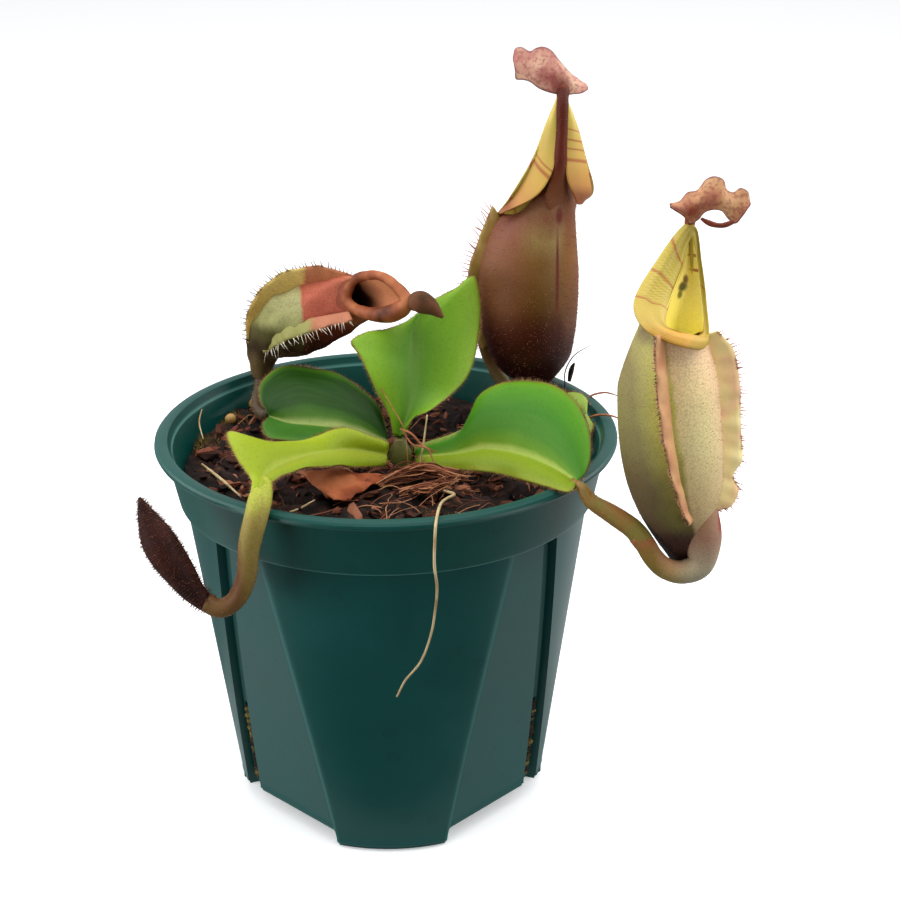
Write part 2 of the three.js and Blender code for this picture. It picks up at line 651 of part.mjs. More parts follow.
const stemSolid = stem();
const stemPlace = stem(GAP);
const tendrilNames = Object.keys(TENDRILS);
const tendrils = {};
const tendrilPlaces = {};
for (const name of tendrilNames) {
  const { points, radii } = TENDRILS[name];
  tendrils[name] = stalk(points, radii);
  tendrilPlaces[name] = stalk(points, radii, { grow: GAP });
}
const allTendrilPlaces = Object.values(tendrilPlaces);

const cupPlaces = {
  centre: cup(CENTRE_CUP, CUP_CLEARANCE),
  right: cup(RIGHT_CUP, CUP_CLEARANCE),
  old: cup(OLD_CUP, CUP_CLEARANCE),
};

const COLLARS = {
  centre: {
    mouth: CENTRE_MOUTH,
    outer: [[34, 42.9, 147.4], [30.1, 32.6, 150.1], [32.8, 24.5, 156.9], [37.8, 22, 166.3], [46.6, 25, 182.7],
      [53.5, 28.5, 165], [55.4, 33.5, 155.8], [47.5, 45.5, 148.6]],
    inner: [[36.6, 39.4, 146.8], [33, 33, 149.2], [37, 27.5, 151], [44.2, 26, 160.5], [46.9, 26.3, 177],
      [48.6, 27.5, 161.5], [49.6, 35, 150], [44.4, 40.5, 146.6]],
    facing: [-0.4, 0.6, 0.7],
  },
  right: {
    mouth: RIGHT_MOUTH,
    outer: [[68.8, -59, 144.7], [74.4, -52, 142.8], [75.3, -41.5, 149.9], [73.9, -39.8, 158.6], [71, -39.6, 168],
      [62.9, -44, 160], [57.4, -50, 152], [59.9, -57.5, 148.1]],
    inner: [[69, -54, 147], [72.6, -48.5, 145.5], [72.1, -42.6, 150.1], [71.5, -41, 158.8], [70.9, -40.8, 164],
      [69.4, -42.6, 158.1], [66.1, -48.5, 151.4], [64.8, -54, 148.9]],
    facing: [0.3, -0.7, 0.6],
  },
};
const OLD_ROLL_RADII = [1.5, 1.5, 2, 2.4, 1.8, 1.3, 1.3, 1.4];

const collars = {};
const collarPlaces = {};
for (const name of Object.keys(COLLARS)) {
  collars[name] = trimmed(collar(COLLARS[name]), [cupPlaces[name]]);
  collarPlaces[name] = collar(COLLARS[name], GAP);
}

// A pitcher with its wings and whatever else grew as part of its wall, its collar's place kept clear.
function pitcher(shape, wings, extras, collarPlace) {
  const blades = wings.map((blade) => (collarPlace ? wing(blade).subtract(collarPlace) : wing(blade)));
  return trimmed(fuse([cup(shape), ...blades, ...extras]), allTendrilPlaces);
}

const crook = stalk(RIGHT_CROOK.points, RIGHT_CROOK.radii, { sides: 8 });
const cups = {
  centre: pitcher(CENTRE_CUP, CENTRE_WINGS, [], collarPlaces.centre),
  right: pitcher(RIGHT_CUP, RIGHT_WINGS, [crook], collarPlaces.right),
  old: pitcher(OLD_CUP, OLD_WINGS, [rolledEdge(OLD_MOUTH, OLD_ROLL_RADII)]),
};

const lids = {
  centre: fuse([
    lid({
      line: [[34.6, 29.5, 191], [38.2, 28, 190.7], [42, 27, 190.1], [45.8, 26.5, 188.2], [48.9, 26.5, 186.6],
        [52.6, 28, 185.3]],
      upper: [3.4, 4.6, 5.6, 4.8, 3.4, 2.6, 1.4, 0.8],
      lower: [3.4, 4.2, 4.8, 6, 5.4, 3.6, 2, 0.8],
      side: [-0.1, 0.25, 0.97],
    }),
    stalk([[46.7, 24.4, 182.9], [46.8, 24.8, 185], [46.2, 26, 188]], [1.5, 1.5, 1], { steps: 3 }),
  ]),
  right: fuse([
    lid({
      line: [[65.8, -44, 173.9], [70.5, -41.5, 172.9], [75.3, -41, 173.6], [80.2, -42, 172.9], [83.5, -44, 173.4]],
      upper: [0.6, 1.6, 3.4, 4.6, 5, 4.2, 3, 3, 1.2],
      lower: [0.8, 3.2, 4.6, 3.6, 2.4, 3, 4.6, 3.4, 1],
      side: [0, 0.2, 0.98],
    }),
    stalk([[71, -38.6, 167.4], [71, -39.4, 169.5], [71.2, -40.8, 172.4]], [1.5, 1.5, 1.2], { steps: 4 }),
  ]),
};

const BEAK = {
  points: [[7.2, 6.8, 134.4], [9.2, 5.6, 134.9], [12, 4.4, 133.8], [15, 3.2, 131.4]],
  radii: [2, 2.7, 2.3, 1.4, 0.5],
};

function barkChip([x, y], length, width, height, turn, tip) {
  const base = soilHeight(x, y) - 0.4;
  const plan = [[-0.5, -0.3], [-0.1, -0.5], [0.45, -0.35], [0.5, 0.2], [0.1, 0.5], [-0.4, 0.35]];
  const ring = (scale, level) => plan.map(([px, py]) => {
    const along1 = px * length * scale * (0.85 + 0.3 * random());
    const across = py * width * scale * (0.85 + 0.3 * random());
    return new THREE.Vector3(
      x + along1 * Math.cos(turn) - across * Math.sin(turn),
      y + along1 * Math.sin(turn) + across * Math.cos(turn),
      base + level + along1 * tip,
    );
  });
  return skin([ring(0.8, 0), ring(1, height * 0.5), ring(0.75, height)]);
}

const CHIPS = [
  { at: [-47, 3], size: [9, 5, 3], turn: 0.4, tip: 0.15 },
  { at: [-40, -14], size: [8, 5, 3.4], turn: 2.1, tip: -0.2 },
  { at: [-45, 17], size: [7, 4.5, 3], turn: 1.2, tip: 0.2 },
  { at: [-24, -32], size: [8, 4.5, 2.6], turn: 2.7, tip: 0.1 },
  { at: [50, 6], size: [7, 4, 3], turn: 1.5, tip: 0.2 },
  { at: [24, -38], size: [9, 4.5, 2.6], turn: 0.2, tip: 0.1 },
  { at: [-16, 47], size: [8, 5, 3], turn: 0.1, tip: 0.1 },
  { at: [12, 46], size: [9, 4, 3], turn: 2.6, tip: 0.2 },
];
const BEADS = [[-37.2, 36, 1.5], [-34.6, 37.5, 1.4], [-42.5, 22.5, 1.6]];

const chips = CHIPS.map(({ at, size, turn, tip }) => barkChip(at, ...size, turn, tip));
const beads = BEADS.map(([x, y, radius]) => {
  const z = soilHeight(x, y) + radius * 0.4;
  return stalk([[x - radius, y, z], [x, y, z], [x + radius, y, z]], [0.35 * radius, radius, 0.35 * radius],
    { sides: 8, steps: 4 });
});

// Loose bundle of coir strands in front of the stem, and the withered leaf beside it.
function coirBundle() {
  const strands = [];
  for (let i = 0; i < 5; i += 1) {
    const lean = (i - 2) * 0.8;
    const lift = 0.35 * (i % 3);
    strands.push(stalk([[-1.4 + 0.4 * i, -16.4 + lean * 0.7, 93.4 + lift], [2, -13.2 + lean * 0.8, 94.2 + lift],
      [9, -10.6 + lean * 0.6, 94.4 + lift], [15, -11.5 + lean * 0.9, 94 + lift],
      [21 - 0.5 * i, -13 + lean * 1.4, 93.6 + lift]], [0.6, 0.9, 0.95, 0.9, 0.6], { sides: 4, steps: 5 }));
  }
  return trimmed(fuse(strands), []);
}

const DEAD_LEAF = {
  midrib: [[0.4, -10.6, 93], [-4.6, -14, 93.8], [-10, -20, 95], [-15, -27, 95.4]],
  left: [[1.4, -11.8, 92.8], [-2.4, -16, 93.6], [-6.6, -22, 94], [-9.9, -28, 94.4], [-13.6, -29, 95]],
  right: [[-0.6, -9.4, 93.2], [-8, -11, 94.6], [-15, -14, 97], [-20.5, -18, 97.4], [-16.6, -25.6, 96]],
};

const STRAND = {
  points: [[14.2, -20.5, 93.4], [16.9, -26, 94.8], [15, -34, 97.2], [13.2, -48, 102], [12.3, -57, 103.6],
    [11.8, -60.8, 102.6], [11.5, -61.4, 98], [11.4, -60.8, 92], [12, -58.4, 85], [11.5, -55.6, 77.4],
    [10.5, -54.2, 70.4], [7.8, -53.4, 62.3], [4.1, -52.6, 57], [2, -52, 52.2]],
  radii: [0.35, 0.35],
};

const deadLeaf = leaf({ ...DEAD_LEAF, arch: 0.05, stations: 8 });
const coir = coirBundle();
const strand = stalk(STRAND.points, STRAND.radii, { sides: 4, steps: 24 });

const leafCutters = [stemPlace, ...allTendrilPlaces];
const looseThings = [deadLeaf, coir, ...chips, ...beads];

// The hollow that a thing lying in the mix presses into it.
function hollowUnder(thing) {
  const { min, max } = thing.boundingBox();
  const middle = min.map((low, i) => (low + max[i]) / 2);
  const growth = min.map((low, i) => 1 + (2 * GAP) / (max[i] - low));
  const larger = thing.translate(middle.map((m) => -m)).scale(growth).translate(middle);
  return larger.add(thing.translate([0, 0, -GAP]));
}

piece('pot', pot(), 0x244c49, 0.55);
piece('stem', stemSolid, 0x6f8a3a, 0.7);
for (const [name, shape] of Object.entries(LEAVES)) {
  piece(name, trimmed(leaf(shape), leafCutters), 0x6fa32c, 0.5);
}
piece('dead_leaf', deadLeaf, 0x8a4a2b, 0.7);
for (const name of tendrilNames) {
  piece(name, tendrils[name], 0x8f8440, 0.6);
}
for (const name of Object.keys(cups)) {
  piece(`pitcher_${name}`, cups[name], name === 'old' ? 0x9a6a45 : 0x7c7a4a, 0.55);
}
for (const name of Object.keys(collars)) {
  piece(`peristome_${name}`, collars[name], 0xcdb84c, 0.4);
}
for (const name of Object.keys(lids)) {
  piece(`lid_${name}`, trimmed(lids[name], [cupPlaces[name], collarPlaces[name]]), 0xb98a7c, 0.5);
}
piece('lid_old', trimmed(stalk(BEAK.points, BEAK.radii), [cupPlaces.old, rolledEdge(OLD_MOUTH, OLD_ROLL_RADII, GAP)]), 0x553328, 0.8);
const BUD = {
  points: [[-43.3, -54.8, 80.5], [-46.2, -54, 83.2], [-49.4, -52.8, 87.8], [-52.8, -51.8, 93.2],
    [-55.8, -50.8, 100.1], [-57.7, -50.2, 105.8]],
  radii: [2.8, 3.6, 4.2, 4.2, 2.4, 0.5],
};
piece('bud', trimmed(stalk(BUD.points, BUD.radii, { sides: 10 }), allTendrilPlaces), 0x4a1d1c, 0.7);
chips.forEach((chip, i) => piece(`bark_chip_${i + 1}`, chip, 0x4a2a20, 0.9));
beads.forEach((bead, i) => piece(`pellet_${i + 1}`, bead, 0xb08a50, 0.6));
piece('coir_bundle', coir, 0x8c5a3e, 0.9);
piece('dry_strand', strand, 0xcdb592, 0.7);
piece('potting_mix', pottingMix([stemPlace, ...looseThings.map(hollowUnder), ...allTendrilPlaces]), 0x35211c, 0.95);

export default group;
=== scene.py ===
import math
import random
import bpy
from mathutils import Matrix, Quaternion, Vector, noise


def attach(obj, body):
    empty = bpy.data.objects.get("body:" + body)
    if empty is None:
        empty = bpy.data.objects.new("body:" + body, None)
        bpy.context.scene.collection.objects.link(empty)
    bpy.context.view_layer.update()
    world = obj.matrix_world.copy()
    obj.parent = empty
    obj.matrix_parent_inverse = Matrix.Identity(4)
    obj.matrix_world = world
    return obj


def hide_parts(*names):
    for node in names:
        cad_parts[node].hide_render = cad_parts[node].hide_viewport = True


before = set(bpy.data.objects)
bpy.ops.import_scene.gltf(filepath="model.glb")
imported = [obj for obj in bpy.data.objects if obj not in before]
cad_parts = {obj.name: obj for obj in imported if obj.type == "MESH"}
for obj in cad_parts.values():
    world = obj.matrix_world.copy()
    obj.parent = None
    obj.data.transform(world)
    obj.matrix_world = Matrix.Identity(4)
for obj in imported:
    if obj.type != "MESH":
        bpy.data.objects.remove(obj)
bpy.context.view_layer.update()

# Lengths are in millimetres until a mesh is made, which is in metres.
mm = 0.001
chance = random.Random(11)


def hexColour(code):
    parts = [int(code[i:i + 2], 16) / 255 for i in (0, 2, 4)]
    return [c / 12.92 if c <= 0.04045 else ((c + 0.055) / 1.055) ** 2.4 for c in parts] + [1]


def spread(amount):
    return (chance.random() - 0.5) * 2 * amount


def jitter(x, y, z):
    return Vector((spread(x), spread(y), spread(z)))


def turnsOf(count):
    return [2 * math.pi * k / count for k in range(count)]


def even(steps, start=0, end=1):
    return [start + (end - start) * i / steps for i in range(steps + 1)]


def easeIn(value, low, high):
    share = min(max((value - low) / (high - low), 0), 1)
    return share * share * (3 - 2 * share)


def along(values, share):
    # smooth value at 0 to 1 of an evenly spaced list
    at = min(max(share, 0), 1) * (len(values) - 1)
    i = min(int(at), len(values) - 2)
    s = at - i
    a, b = values[i], values[i + 1]
    before = values[i - 1] if i else 2 * a - b
    after = values[i + 2] if i + 2 < len(values) else 2 * b - a
    bend = 2 * before - 5 * a + 4 * b - after
    twist = 3 * a - before - 3 * b + after
    return 0.5 * (2 * a + (b - before) * s + bend * s * s + twist * s ** 3)


def splinePoint(points, position, looped=False):
    count = len(points)
    index = int(position) if looped else min(int(position), count - 2)
    s = position - index

    def knot(i):
        if looped:
            return points[i % count]
        if i < 0:
            return points[0] * 2 - points[1]
        if i >= count:
            return points[-1] * 2 - points[-2]
        return points[i]

    before, a, b, after = (knot(index + i) for i in (-1, 0, 1, 2))
    d0, d1, d2 = ((q - p).length ** 0.5 for p, q in ((before, a), (a, b), (b, after)))
    leaving = ((a - before) / d0 - (b - before) / (d0 + d1) + (b - a) / d1) * d1
    arriving = ((b - a) / d1 - (after - a) / (d1 + d2) + (after - b) / d2) * d1
    return (a * (2 * s ** 3 - 3 * s ** 2 + 1) + leaving * (s ** 3 - 2 * s ** 2 + s)
            + b * (3 * s ** 2 - 2 * s ** 3) + arriving * (s ** 3 - s ** 2))


def line(points, shares):
    # points of a smooth line at these shares of its length
    points = [Vector(p) for p in points]
    fine = [splinePoint(points, (len(points) - 1) * i / 200) for i in range(201)]
    lengths = [0]
    for p, q in zip(fine, fine[1:]):
        lengths.append(lengths[-1] + (q - p).length)
    found, at = [], 0
    for share in shares:
        goal = lengths[-1] * share
        while at < 199 and lengths[at + 1] < goal:
            at += 1
        found.append(fine[at].lerp(fine[at + 1], (goal - lengths[at]) / (lengths[at + 1] - lengths[at])))
    return found


def loop(points, count):
    # points at equal turns of a closed line
    points = [Vector(p) for p in points]
    return [splinePoint(points, len(points) * k / count, looped=True) for k in range(count)]


def middleOf(points):
    return sum(points, Vector()) / len(points)


def closed(rows):
    # rings with a point added that closes each end
    first, last = ([middleOf(rows[k])] * len(rows[k]) for k in (0, -1))
    return [first] + rows + [last]


def sheetOf(name, rows, ring=False, holes=()):
    # a grid is laid out and its points are pulled to the rows; a ring's last column joins its first
    across = len(rows[0]) + ring
    bpy.ops.object.select_all(action="DESELECT")
    bpy.ops.mesh.primitive_grid_add(x_subdivisions=across - 1, y_subdivisions=len(rows) - 1, size=1)
    piece = bpy.context.object
    piece.name = piece.data.name = name
    for i, vertex in enumerate(piece.data.vertices):
        row = rows[i // across]
        vertex.co = row[i % across % len(row)] * mm
    bpy.ops.object.mode_set(mode="EDIT")
    bpy.ops.mesh.select_mode(type="FACE")
    bpy.ops.mesh.select_all(action="DESELECT")
    bpy.ops.object.mode_set(mode="OBJECT")
    for row, column in holes:
        piece.data.polygons[row * (across - 1) + column].select = True
    bpy.ops.object.mode_set(mode="EDIT")
    bpy.ops.mesh.delete(type="FACE")
    bpy.ops.mesh.select_mode(type="EDGE")
    bpy.ops.mesh.select_all(action="SELECT")
    bpy.ops.mesh.remove_doubles(threshold=1e-7)
    bpy.ops.mesh.select_all(action="DESELECT")
    bpy.ops.object.mode_set(mode="OBJECT")
    bpy.ops.object.shade_smooth()
    return piece


def settle(piece, slot, material, *nodes):
    piece.data.materials.append(material)
    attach(piece, "root")
    if nodes:
        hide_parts(*nodes)
    return piece


def tubeRows(points, steps, radii, sides, flat=1):
    # rings square to a smooth line
    centres = line(points, even(steps))
    side = (centres[1] - centres[0]).cross(Vector((0.31, 0.52, 0.79))).normalized()
    rows = []
    for i, centre in enumerate(centres):
        heading = (centres[min(i + 1, steps)] - centres[max(i - 1, 0)]).normalized()
        side = (side - heading * side.dot(heading)).normalized()
        other = heading.cross(side)
        arms = [side * math.cos(t) + other * math.sin(t) * flat for t in turnsOf(sides)]
        rows.append([centre + arm * along(radii, i / steps) for arm in arms])
    return closed(rows)


def pattern(kind, **settings):
    # a small shape that is modelled once, then repeated by copiesOf
    bpy.ops.object.select_all(action="DESELECT")
    kind(**settings)
    sample = bpy.context.object
    corners = [v.co + sample.location for v in sample.data.vertices]
    shape = corners, [tuple(f.vertices) for f in sample.data.polygons]
    bpy.data.objects.remove(sample)
    return shape


def copiesOf(name, shapes, places):
    # one mesh of many copies, each with its own tone for the material to read
    points, faces, tones = [], [], []
    for matrix in places:
        corners, sides = shapes[chance.randrange(len(shapes))]
        first, tone = len(points), chance.random()
        points += [matrix @ corner * mm for corner in corners]
        faces += [[first + i for i in side] for side in sides]
        tones += [tone] * len(corners)
    mesh = bpy.data.meshes.new(name)
    mesh.from_pydata(points, [], faces)
    mesh.attributes.new("tone", "FLOAT", "POINT").data.foreach_set("value", tones)
    piece = bpy.data.objects.new(name, mesh)
    bpy.context.scene.collection.objects.link(piece)
    return piece


def cover(name, rows, slot, material, *nodes):
    # a skin over rings of points
    return settle(sheetOf(name, rows, ring=True), slot, material, *nodes)


def scatter(name, shapes, places, slot, material, *nodes):
    return settle(copiesOf(name, shapes, places), slot, material, *nodes)


def standing(root, direction, length, width):
    turn = direction.to_track_quat("Z", "Y").to_matrix().to_4x4()
    return Matrix.Translation(root) @ turn @ Matrix.Diagonal((width, width, length, 1))


def rough(direction, amount):
    return (direction + jitter(amount, amount, amount)).normalized()


def fringe(edge, inner, count, length, width, mess=0.28):
    # hairs along an edge, leaning away from a line inside it
    shares = [(i + chance.random()) / count for i in range(count)]
    places = []
    for tip, root in zip(line(edge, shares), line(inner, shares)):
        out = (tip - root).normalized()
        way = rough(out, mess)
        long = length * (0.5 + 0.7 * chance.random()) + 0.25
        places.append(standing(tip - out * 0.25, way, long, width))
    return places


def fuzz(rows, count, length, width):
    # hairs scattered over a skin, standing out from the middle of its rings
    places = []
    for k in range(count):
        row = rows[chance.randrange(2, len(rows) - 2)]
        at = chance.randrange(len(row))
        root = row[at].lerp(row[at - 1], chance.random())
        out = (root - middleOf(row[::4])).normalized()
        places.append(standing(root, rough(out, 0.45), length * (0.5 + 0.8 * chance.random()), width))
    return places


def bladeRows(guides, thick=0.7, steps=60, across=12, wave=0, waves=3):
    # thin blade over lines that run along it: upper and under side in one ring per station
    guides = [line(guide, even(steps)) for guide in guides]
    rows = []
    for i in range(steps + 1):
        station = [points[i] for points in guides]
        before, after = ([points[k] for points in guides] for k in (max(i - 1, 0), min(i + 1, steps)))
        up = (station[-1] - station[0]).cross(middleOf(after) - middleOf(before)).normalized()
        swing = i / steps * 6.28 * waves
        upper, under = [], []
        for j in range(across + 1):
            share = j / across
            ripple = math.sin(swing + 2 * share) + 0.5 * math.sin(swing * 2.3)
            point = splinePoint(station, share * (len(station) - 1)) + up * wave * ripple * share
            body = thick * (0.4 + 0.6 * math.sin(math.pi * share) ** 0.5)
            upper.append(point + up * body / 2)
            under.insert(0, point - up * body / 2)
        rows.append(upper + under)
    return closed(rows)


def addNode(tree, kind, inputs=None, out=0, stops=None, **settings):
    # adds one node with its settings, its input values or links and a ramp's stops, and gives its output
    node = tree.nodes.new("ShaderNode" + kind)
    for key, value in settings.items():
        setattr(node, key, value)
    if stops:
        while len(node.color_ramp.elements) < len(stops):
            node.color_ramp.elements.new(0.5)
        for element, (at, colour) in zip(node.color_ramp.elements, stops):
            element.position = at
            element.color = hexColour(colour) if isinstance(colour, str) else [colour] * 3 + [1]
    for key, value in (inputs or {}).items():
        if isinstance(value, bpy.types.NodeSocket):
            tree.links.new(value, node.inputs[key])
        else:
            node.inputs[key].default_value = hexColour(value) if isinstance(value, str) else value
    return node.outputs[out]


def newMaterial(name, roughness, ior=1.45, specular=0.5):
    # gives the material, its tree and the place of each point in metres
    material = bpy.data.materials.new(name)
    material.use_nodes = True
    tree = material.node_tree
    skin = tree.nodes["Principled BSDF"]
    skin.inputs["Roughness"].default_value = roughness
    skin.inputs["IOR"].default_value = ior
    skin.inputs["Specular IOR Level"].default_value = specular
    return material, tree, addNode(tree, "TexCoord", out=3)


def finish(material, colour, coats=(), height=None, strength=0.3, depth=0.0003):
    # coats of colour go over the ground where their masks say, then a fine relief
    tree = material.node_tree
    skin = tree.nodes["Principled BSDF"]
    for mask, coat in coats:
        colour = addNode(tree, "Mix", {0: mask, 6: colour, 7: coat}, 2, data_type="RGBA")
    tree.links.new(colour, skin.inputs["Base Color"])
    if height is not None:
        relief = addNode(tree, "Bump", {"Strength": strength, "Distance": depth, "Height": height})
        tree.links.new(relief, skin.inputs["Normal"])
    return material


def softSpot(tree, where, place, size, rim=1, core=0.55, full=1):
    # mask that is full in the core of an ellipsoid and fades to nothing at its rim
    offset = addNode(tree, "VectorMath", {0: where, 1: Vector(place) * mm}, operation="SUBTRACT")
    scaled = addNode(tree, "VectorMath", {0: offset, 1: Vector(size) * mm}, operation="DIVIDE")
    away = addNode(tree, "VectorMath", {0: scaled}, 1, operation="LENGTH")
    return addNode(tree, "MapRange", {0: away, 1: rim, 2: core, 4: full})


def mottled(name, tones, scale=90, roughness=0.5, relief=0.25, byPiece=0):
    # soft blotches between the tones of one stuff; where there are many copies each has its own tone
    material, tree, where = newMaterial(name, roughness, specular=0.28)
    cloud = addNode(tree, "TexNoise", {0: where, "Scale": scale, "Detail": 5})
    own = addNode(tree, "Attribute", attribute_name="tone", out=2)
    share = addNode(tree, "Mix", {0: byPiece, 2: cloud, 3: own})
    low, high = (0.2, 0.8) if byPiece else (0.34, 0.68)
    colour = addNode(tree, "ValToRGB", {0: share}, stops=list(zip(even(len(tones) - 1, low, high), tones)))
    return finish(material, colour, height=cloud, strength=relief)


hair = pattern(bpy.ops.mesh.primitive_cone_add, vertices=3, radius1=1, radius2=0, depth=1,
               location=(0, 0, 0.5))
# The camera stands where the photograph was taken from.
view = {"place": (6.213, -470.04, 291.04), "towards": (0.02025, 0.92342, -0.38326), "roll": -0.315,
        "lens": 77.8}
bpy.ops.object.camera_add(location=Vector(view["place"]) * mm)
camera = bpy.context.object
camera.data.lens = view["lens"]
camera.data.clip_start = 0.01
turn = Vector(view["towards"]).to_track_quat("-Z", "Y") @ Quaternion((0, 0, 1), math.radians(view["roll"]))
camera.rotation_euler = turn.to_euler()
bpy.context.scene.camera = camera

# Soft studio light: pale all round, dimmer where the camera stands, with panels above and at the sides.
studio = {
    "world": 0.75,
    "front": 0.25,
    "boardGlow": 0.32,
    "paper": {"front": 0.1, "left": 0.5, "right": 0.4, "leftBack": 0.12},
    "exposure": 0,
    "lamps": [
        {"at": (-620, 60, 420), "size": 600, "watts": 3.2},
        {"at": (640, 120, 460), "size": 600, "watts": 3.2},
        {"at": (60, -120, 900), "size": 800, "watts": 6},
        {"at": (-420, -260, 40), "size": 240, "watts": 1.5},
        {"at": (440, -260, 60), "size": 240, "watts": 0.9},
    ],
}
scene = bpy.context.scene
scene.view_settings.view_transform = "Standard"
scene.view_settings.exposure = studio["exposure"]
world = bpy.data.worlds.new("studio")
scene.world = world
world.use_nodes = True
sky = world.node_tree
away = addNode(sky, "SeparateXYZ", {0: addNode(sky, "TexCoord")}, 1)
lit = addNode(sky, "MapRange", {0: away, 1: -0.8, 2: 0.0, 3: studio["front"], 4: studio["world"]})
seen = addNode(sky, "LightPath")
strength = addNode(sky, "Mix", {0: seen, 2: lit, 3: 1.0})
sky.links.new(strength, sky.nodes["Background"].inputs["Strength"])
sky.nodes["Background"].inputs["Color"].default_value = (1, 1, 1, 1)
for lamp in studio["lamps"]:
    place = Vector(lamp["at"])
    bpy.ops.object.light_add(type="AREA", location=place * mm)
    panel = bpy.context.object
    panel.data.size = lamp["size"] * mm
    panel.data.energy = lamp["watts"]
    panel.visible_camera = False
    panel.rotation_euler = (Vector((15, 0, 100)) - place).to_track_quat("-Z", "Y").to_euler()

# Painted board under the pot: flat white, so it gives only the soft shadow. The light that it throws
# back on the pot is that of a smaller sheet of paper: little in front, more at the sides.
bpy.ops.mesh.primitive_plane_add(size=6, location=(0, 0, -0.0002))
board = bpy.context.object
board.name = "board"
boardPaint, tree, where = newMaterial("matt_white_board", roughness=0.9, specular=0)
spot = addNode(tree, "SeparateXYZ", {0: where}).node
side, back = spot.outputs[0], spot.outputs[1]
sheet = studio["paper"]
sideways = addNode(tree, "MapRange", {0: side, 1: -0.05, 2: 0.05, 3: sheet["left"], 4: sheet["right"]})
farBack = addNode(tree, "MapRange", {0: side, 1: -0.05, 2: 0.05, 3: sheet["leftBack"], 4: sheet["right"]})
behind = addNode(tree, "MapRange", {0: back, 1: 0.01, 2: 0.05, 3: sideways, 4: farBack})
ahead = addNode(tree, "MapRange", {0: back, 1: -0.056, 2: -0.04, 3: sheet["front"], 4: 1.0})
paper = addNode(tree, "Math", {0: ahead, 1: behind}, operation="MINIMUM")
seen = addNode(tree, "LightPath")
tint = addNode(tree, "Mix", {0: seen, 2: paper, 3: 1.0})
glow = addNode(tree, "Math", {0: tint, 1: studio["boardGlow"]}, operation="MULTIPLY")
sockets = tree.nodes["Principled BSDF"].inputs
tree.links.new(glow, sockets["Emission Strength"])
sockets["Emission Color"].default_value = (1, 1, 1, 1)
board.data.materials.append(finish(boardPaint, (0, 0, 0, 1), [(tint, "eef0f2")]))
print("camera, light and board are in")


# Pot: injection moulded polypropylene, dark green, satin, with a slightly paler worn edge; its pale corner
# and edge lines are painted highlights.
pot = {
    "height": 102.4, "lipRadius": 60, "lipHeight": 2, "lipWidth": 3.6,
    "collarFoot": 86.2, "collarTopRadius": 57.2, "collarFootRadius": 54.3,
    "bodyTopRadius": 52.8, "footRadius": 41, "wall": 1.8, "floorUnder": 4.8, "floorTop": 6.4,
    "bossRadius": 22, "cornerFoot": 20, "cornerTop": 36.5,
    "grooveWidth": 5, "grooveDepth": 2.2, "slitTop": 33,
    # steps of a round panel, points round the body, and the point of its plan where a slit begins
    "panelSteps": 10, "around": 132, "slitColumn": 19,
}


def circleRow(radius, height):
    return [Vector((radius * math.sin(t), -radius * math.cos(t), height)) for t in turnsOf(pot["around"])]


def bodyRow(level, height, inset=0, facetInset=0):
    # plan of the body: round panels at the front, back and sides, flat facets that end in a groove;
    # under the facets, and at the sides up to the short side feet, the foot is cut away
    share = level / pot["collarFoot"]
    radius = pot["footRadius"] + (pot["bodyTopRadius"] - pot["footRadius"]) * share
    corner = pot["cornerFoot"] + (pot["cornerTop"] - pot["cornerFoot"]) * share

    def at(degrees):
        return Vector((radius * math.sin(math.radians(degrees)), -radius * math.cos(math.radians(degrees)),
                       0))

    front = [at(corner * s) for s in even(pot["panelSteps"])]
    side = [at(90 - corner * (1 - s)) for s in even(pot["panelSteps"])]
    chord = (side[0] - front[-1]).normalized()
    inward = Vector((-1, 1, 0)).normalized()
    marks = [(1, 0), (0.97, 0.12), (0.8, 0.96), (0.74, 1), (0.22, 1), (0.18, 0.96), (0.03, 0.12)]
    wide, sunk = chord * pot["grooveWidth"], inward * pot["grooveDepth"]
    groove = [side[0] - wide * back + sunk * deep for back, deep in marks]
    facet = [front[-1].lerp(groove[0], s) for s in (0.03, 0.25, 0.5, 0.75, 0.97)]
    quarter = [(p.x, p.y, 0) for p in front] + [(p.x, p.y, 1) for p in facet + groove + side[:6]]
    quarter += [(p.x, p.y, 0) for p in side[6:]]
    plan = quarter + [(x, -y, f) for x, y, f in quarter[-2::-1]]
    plan += [(-x, -y, f) for x, y, f in quarter[1:]] + [(-x, y, f) for x, y, f in quarter[-2:0:-1]]
    row = []
    for x, y, facetPoint in plan:
        scale = 1 - (inset + facetInset * facetPoint) / math.hypot(x, y)
        row.append(Vector((x * scale, y * scale, max(height, pot["floorUnder"] * facetPoint))))
    return row


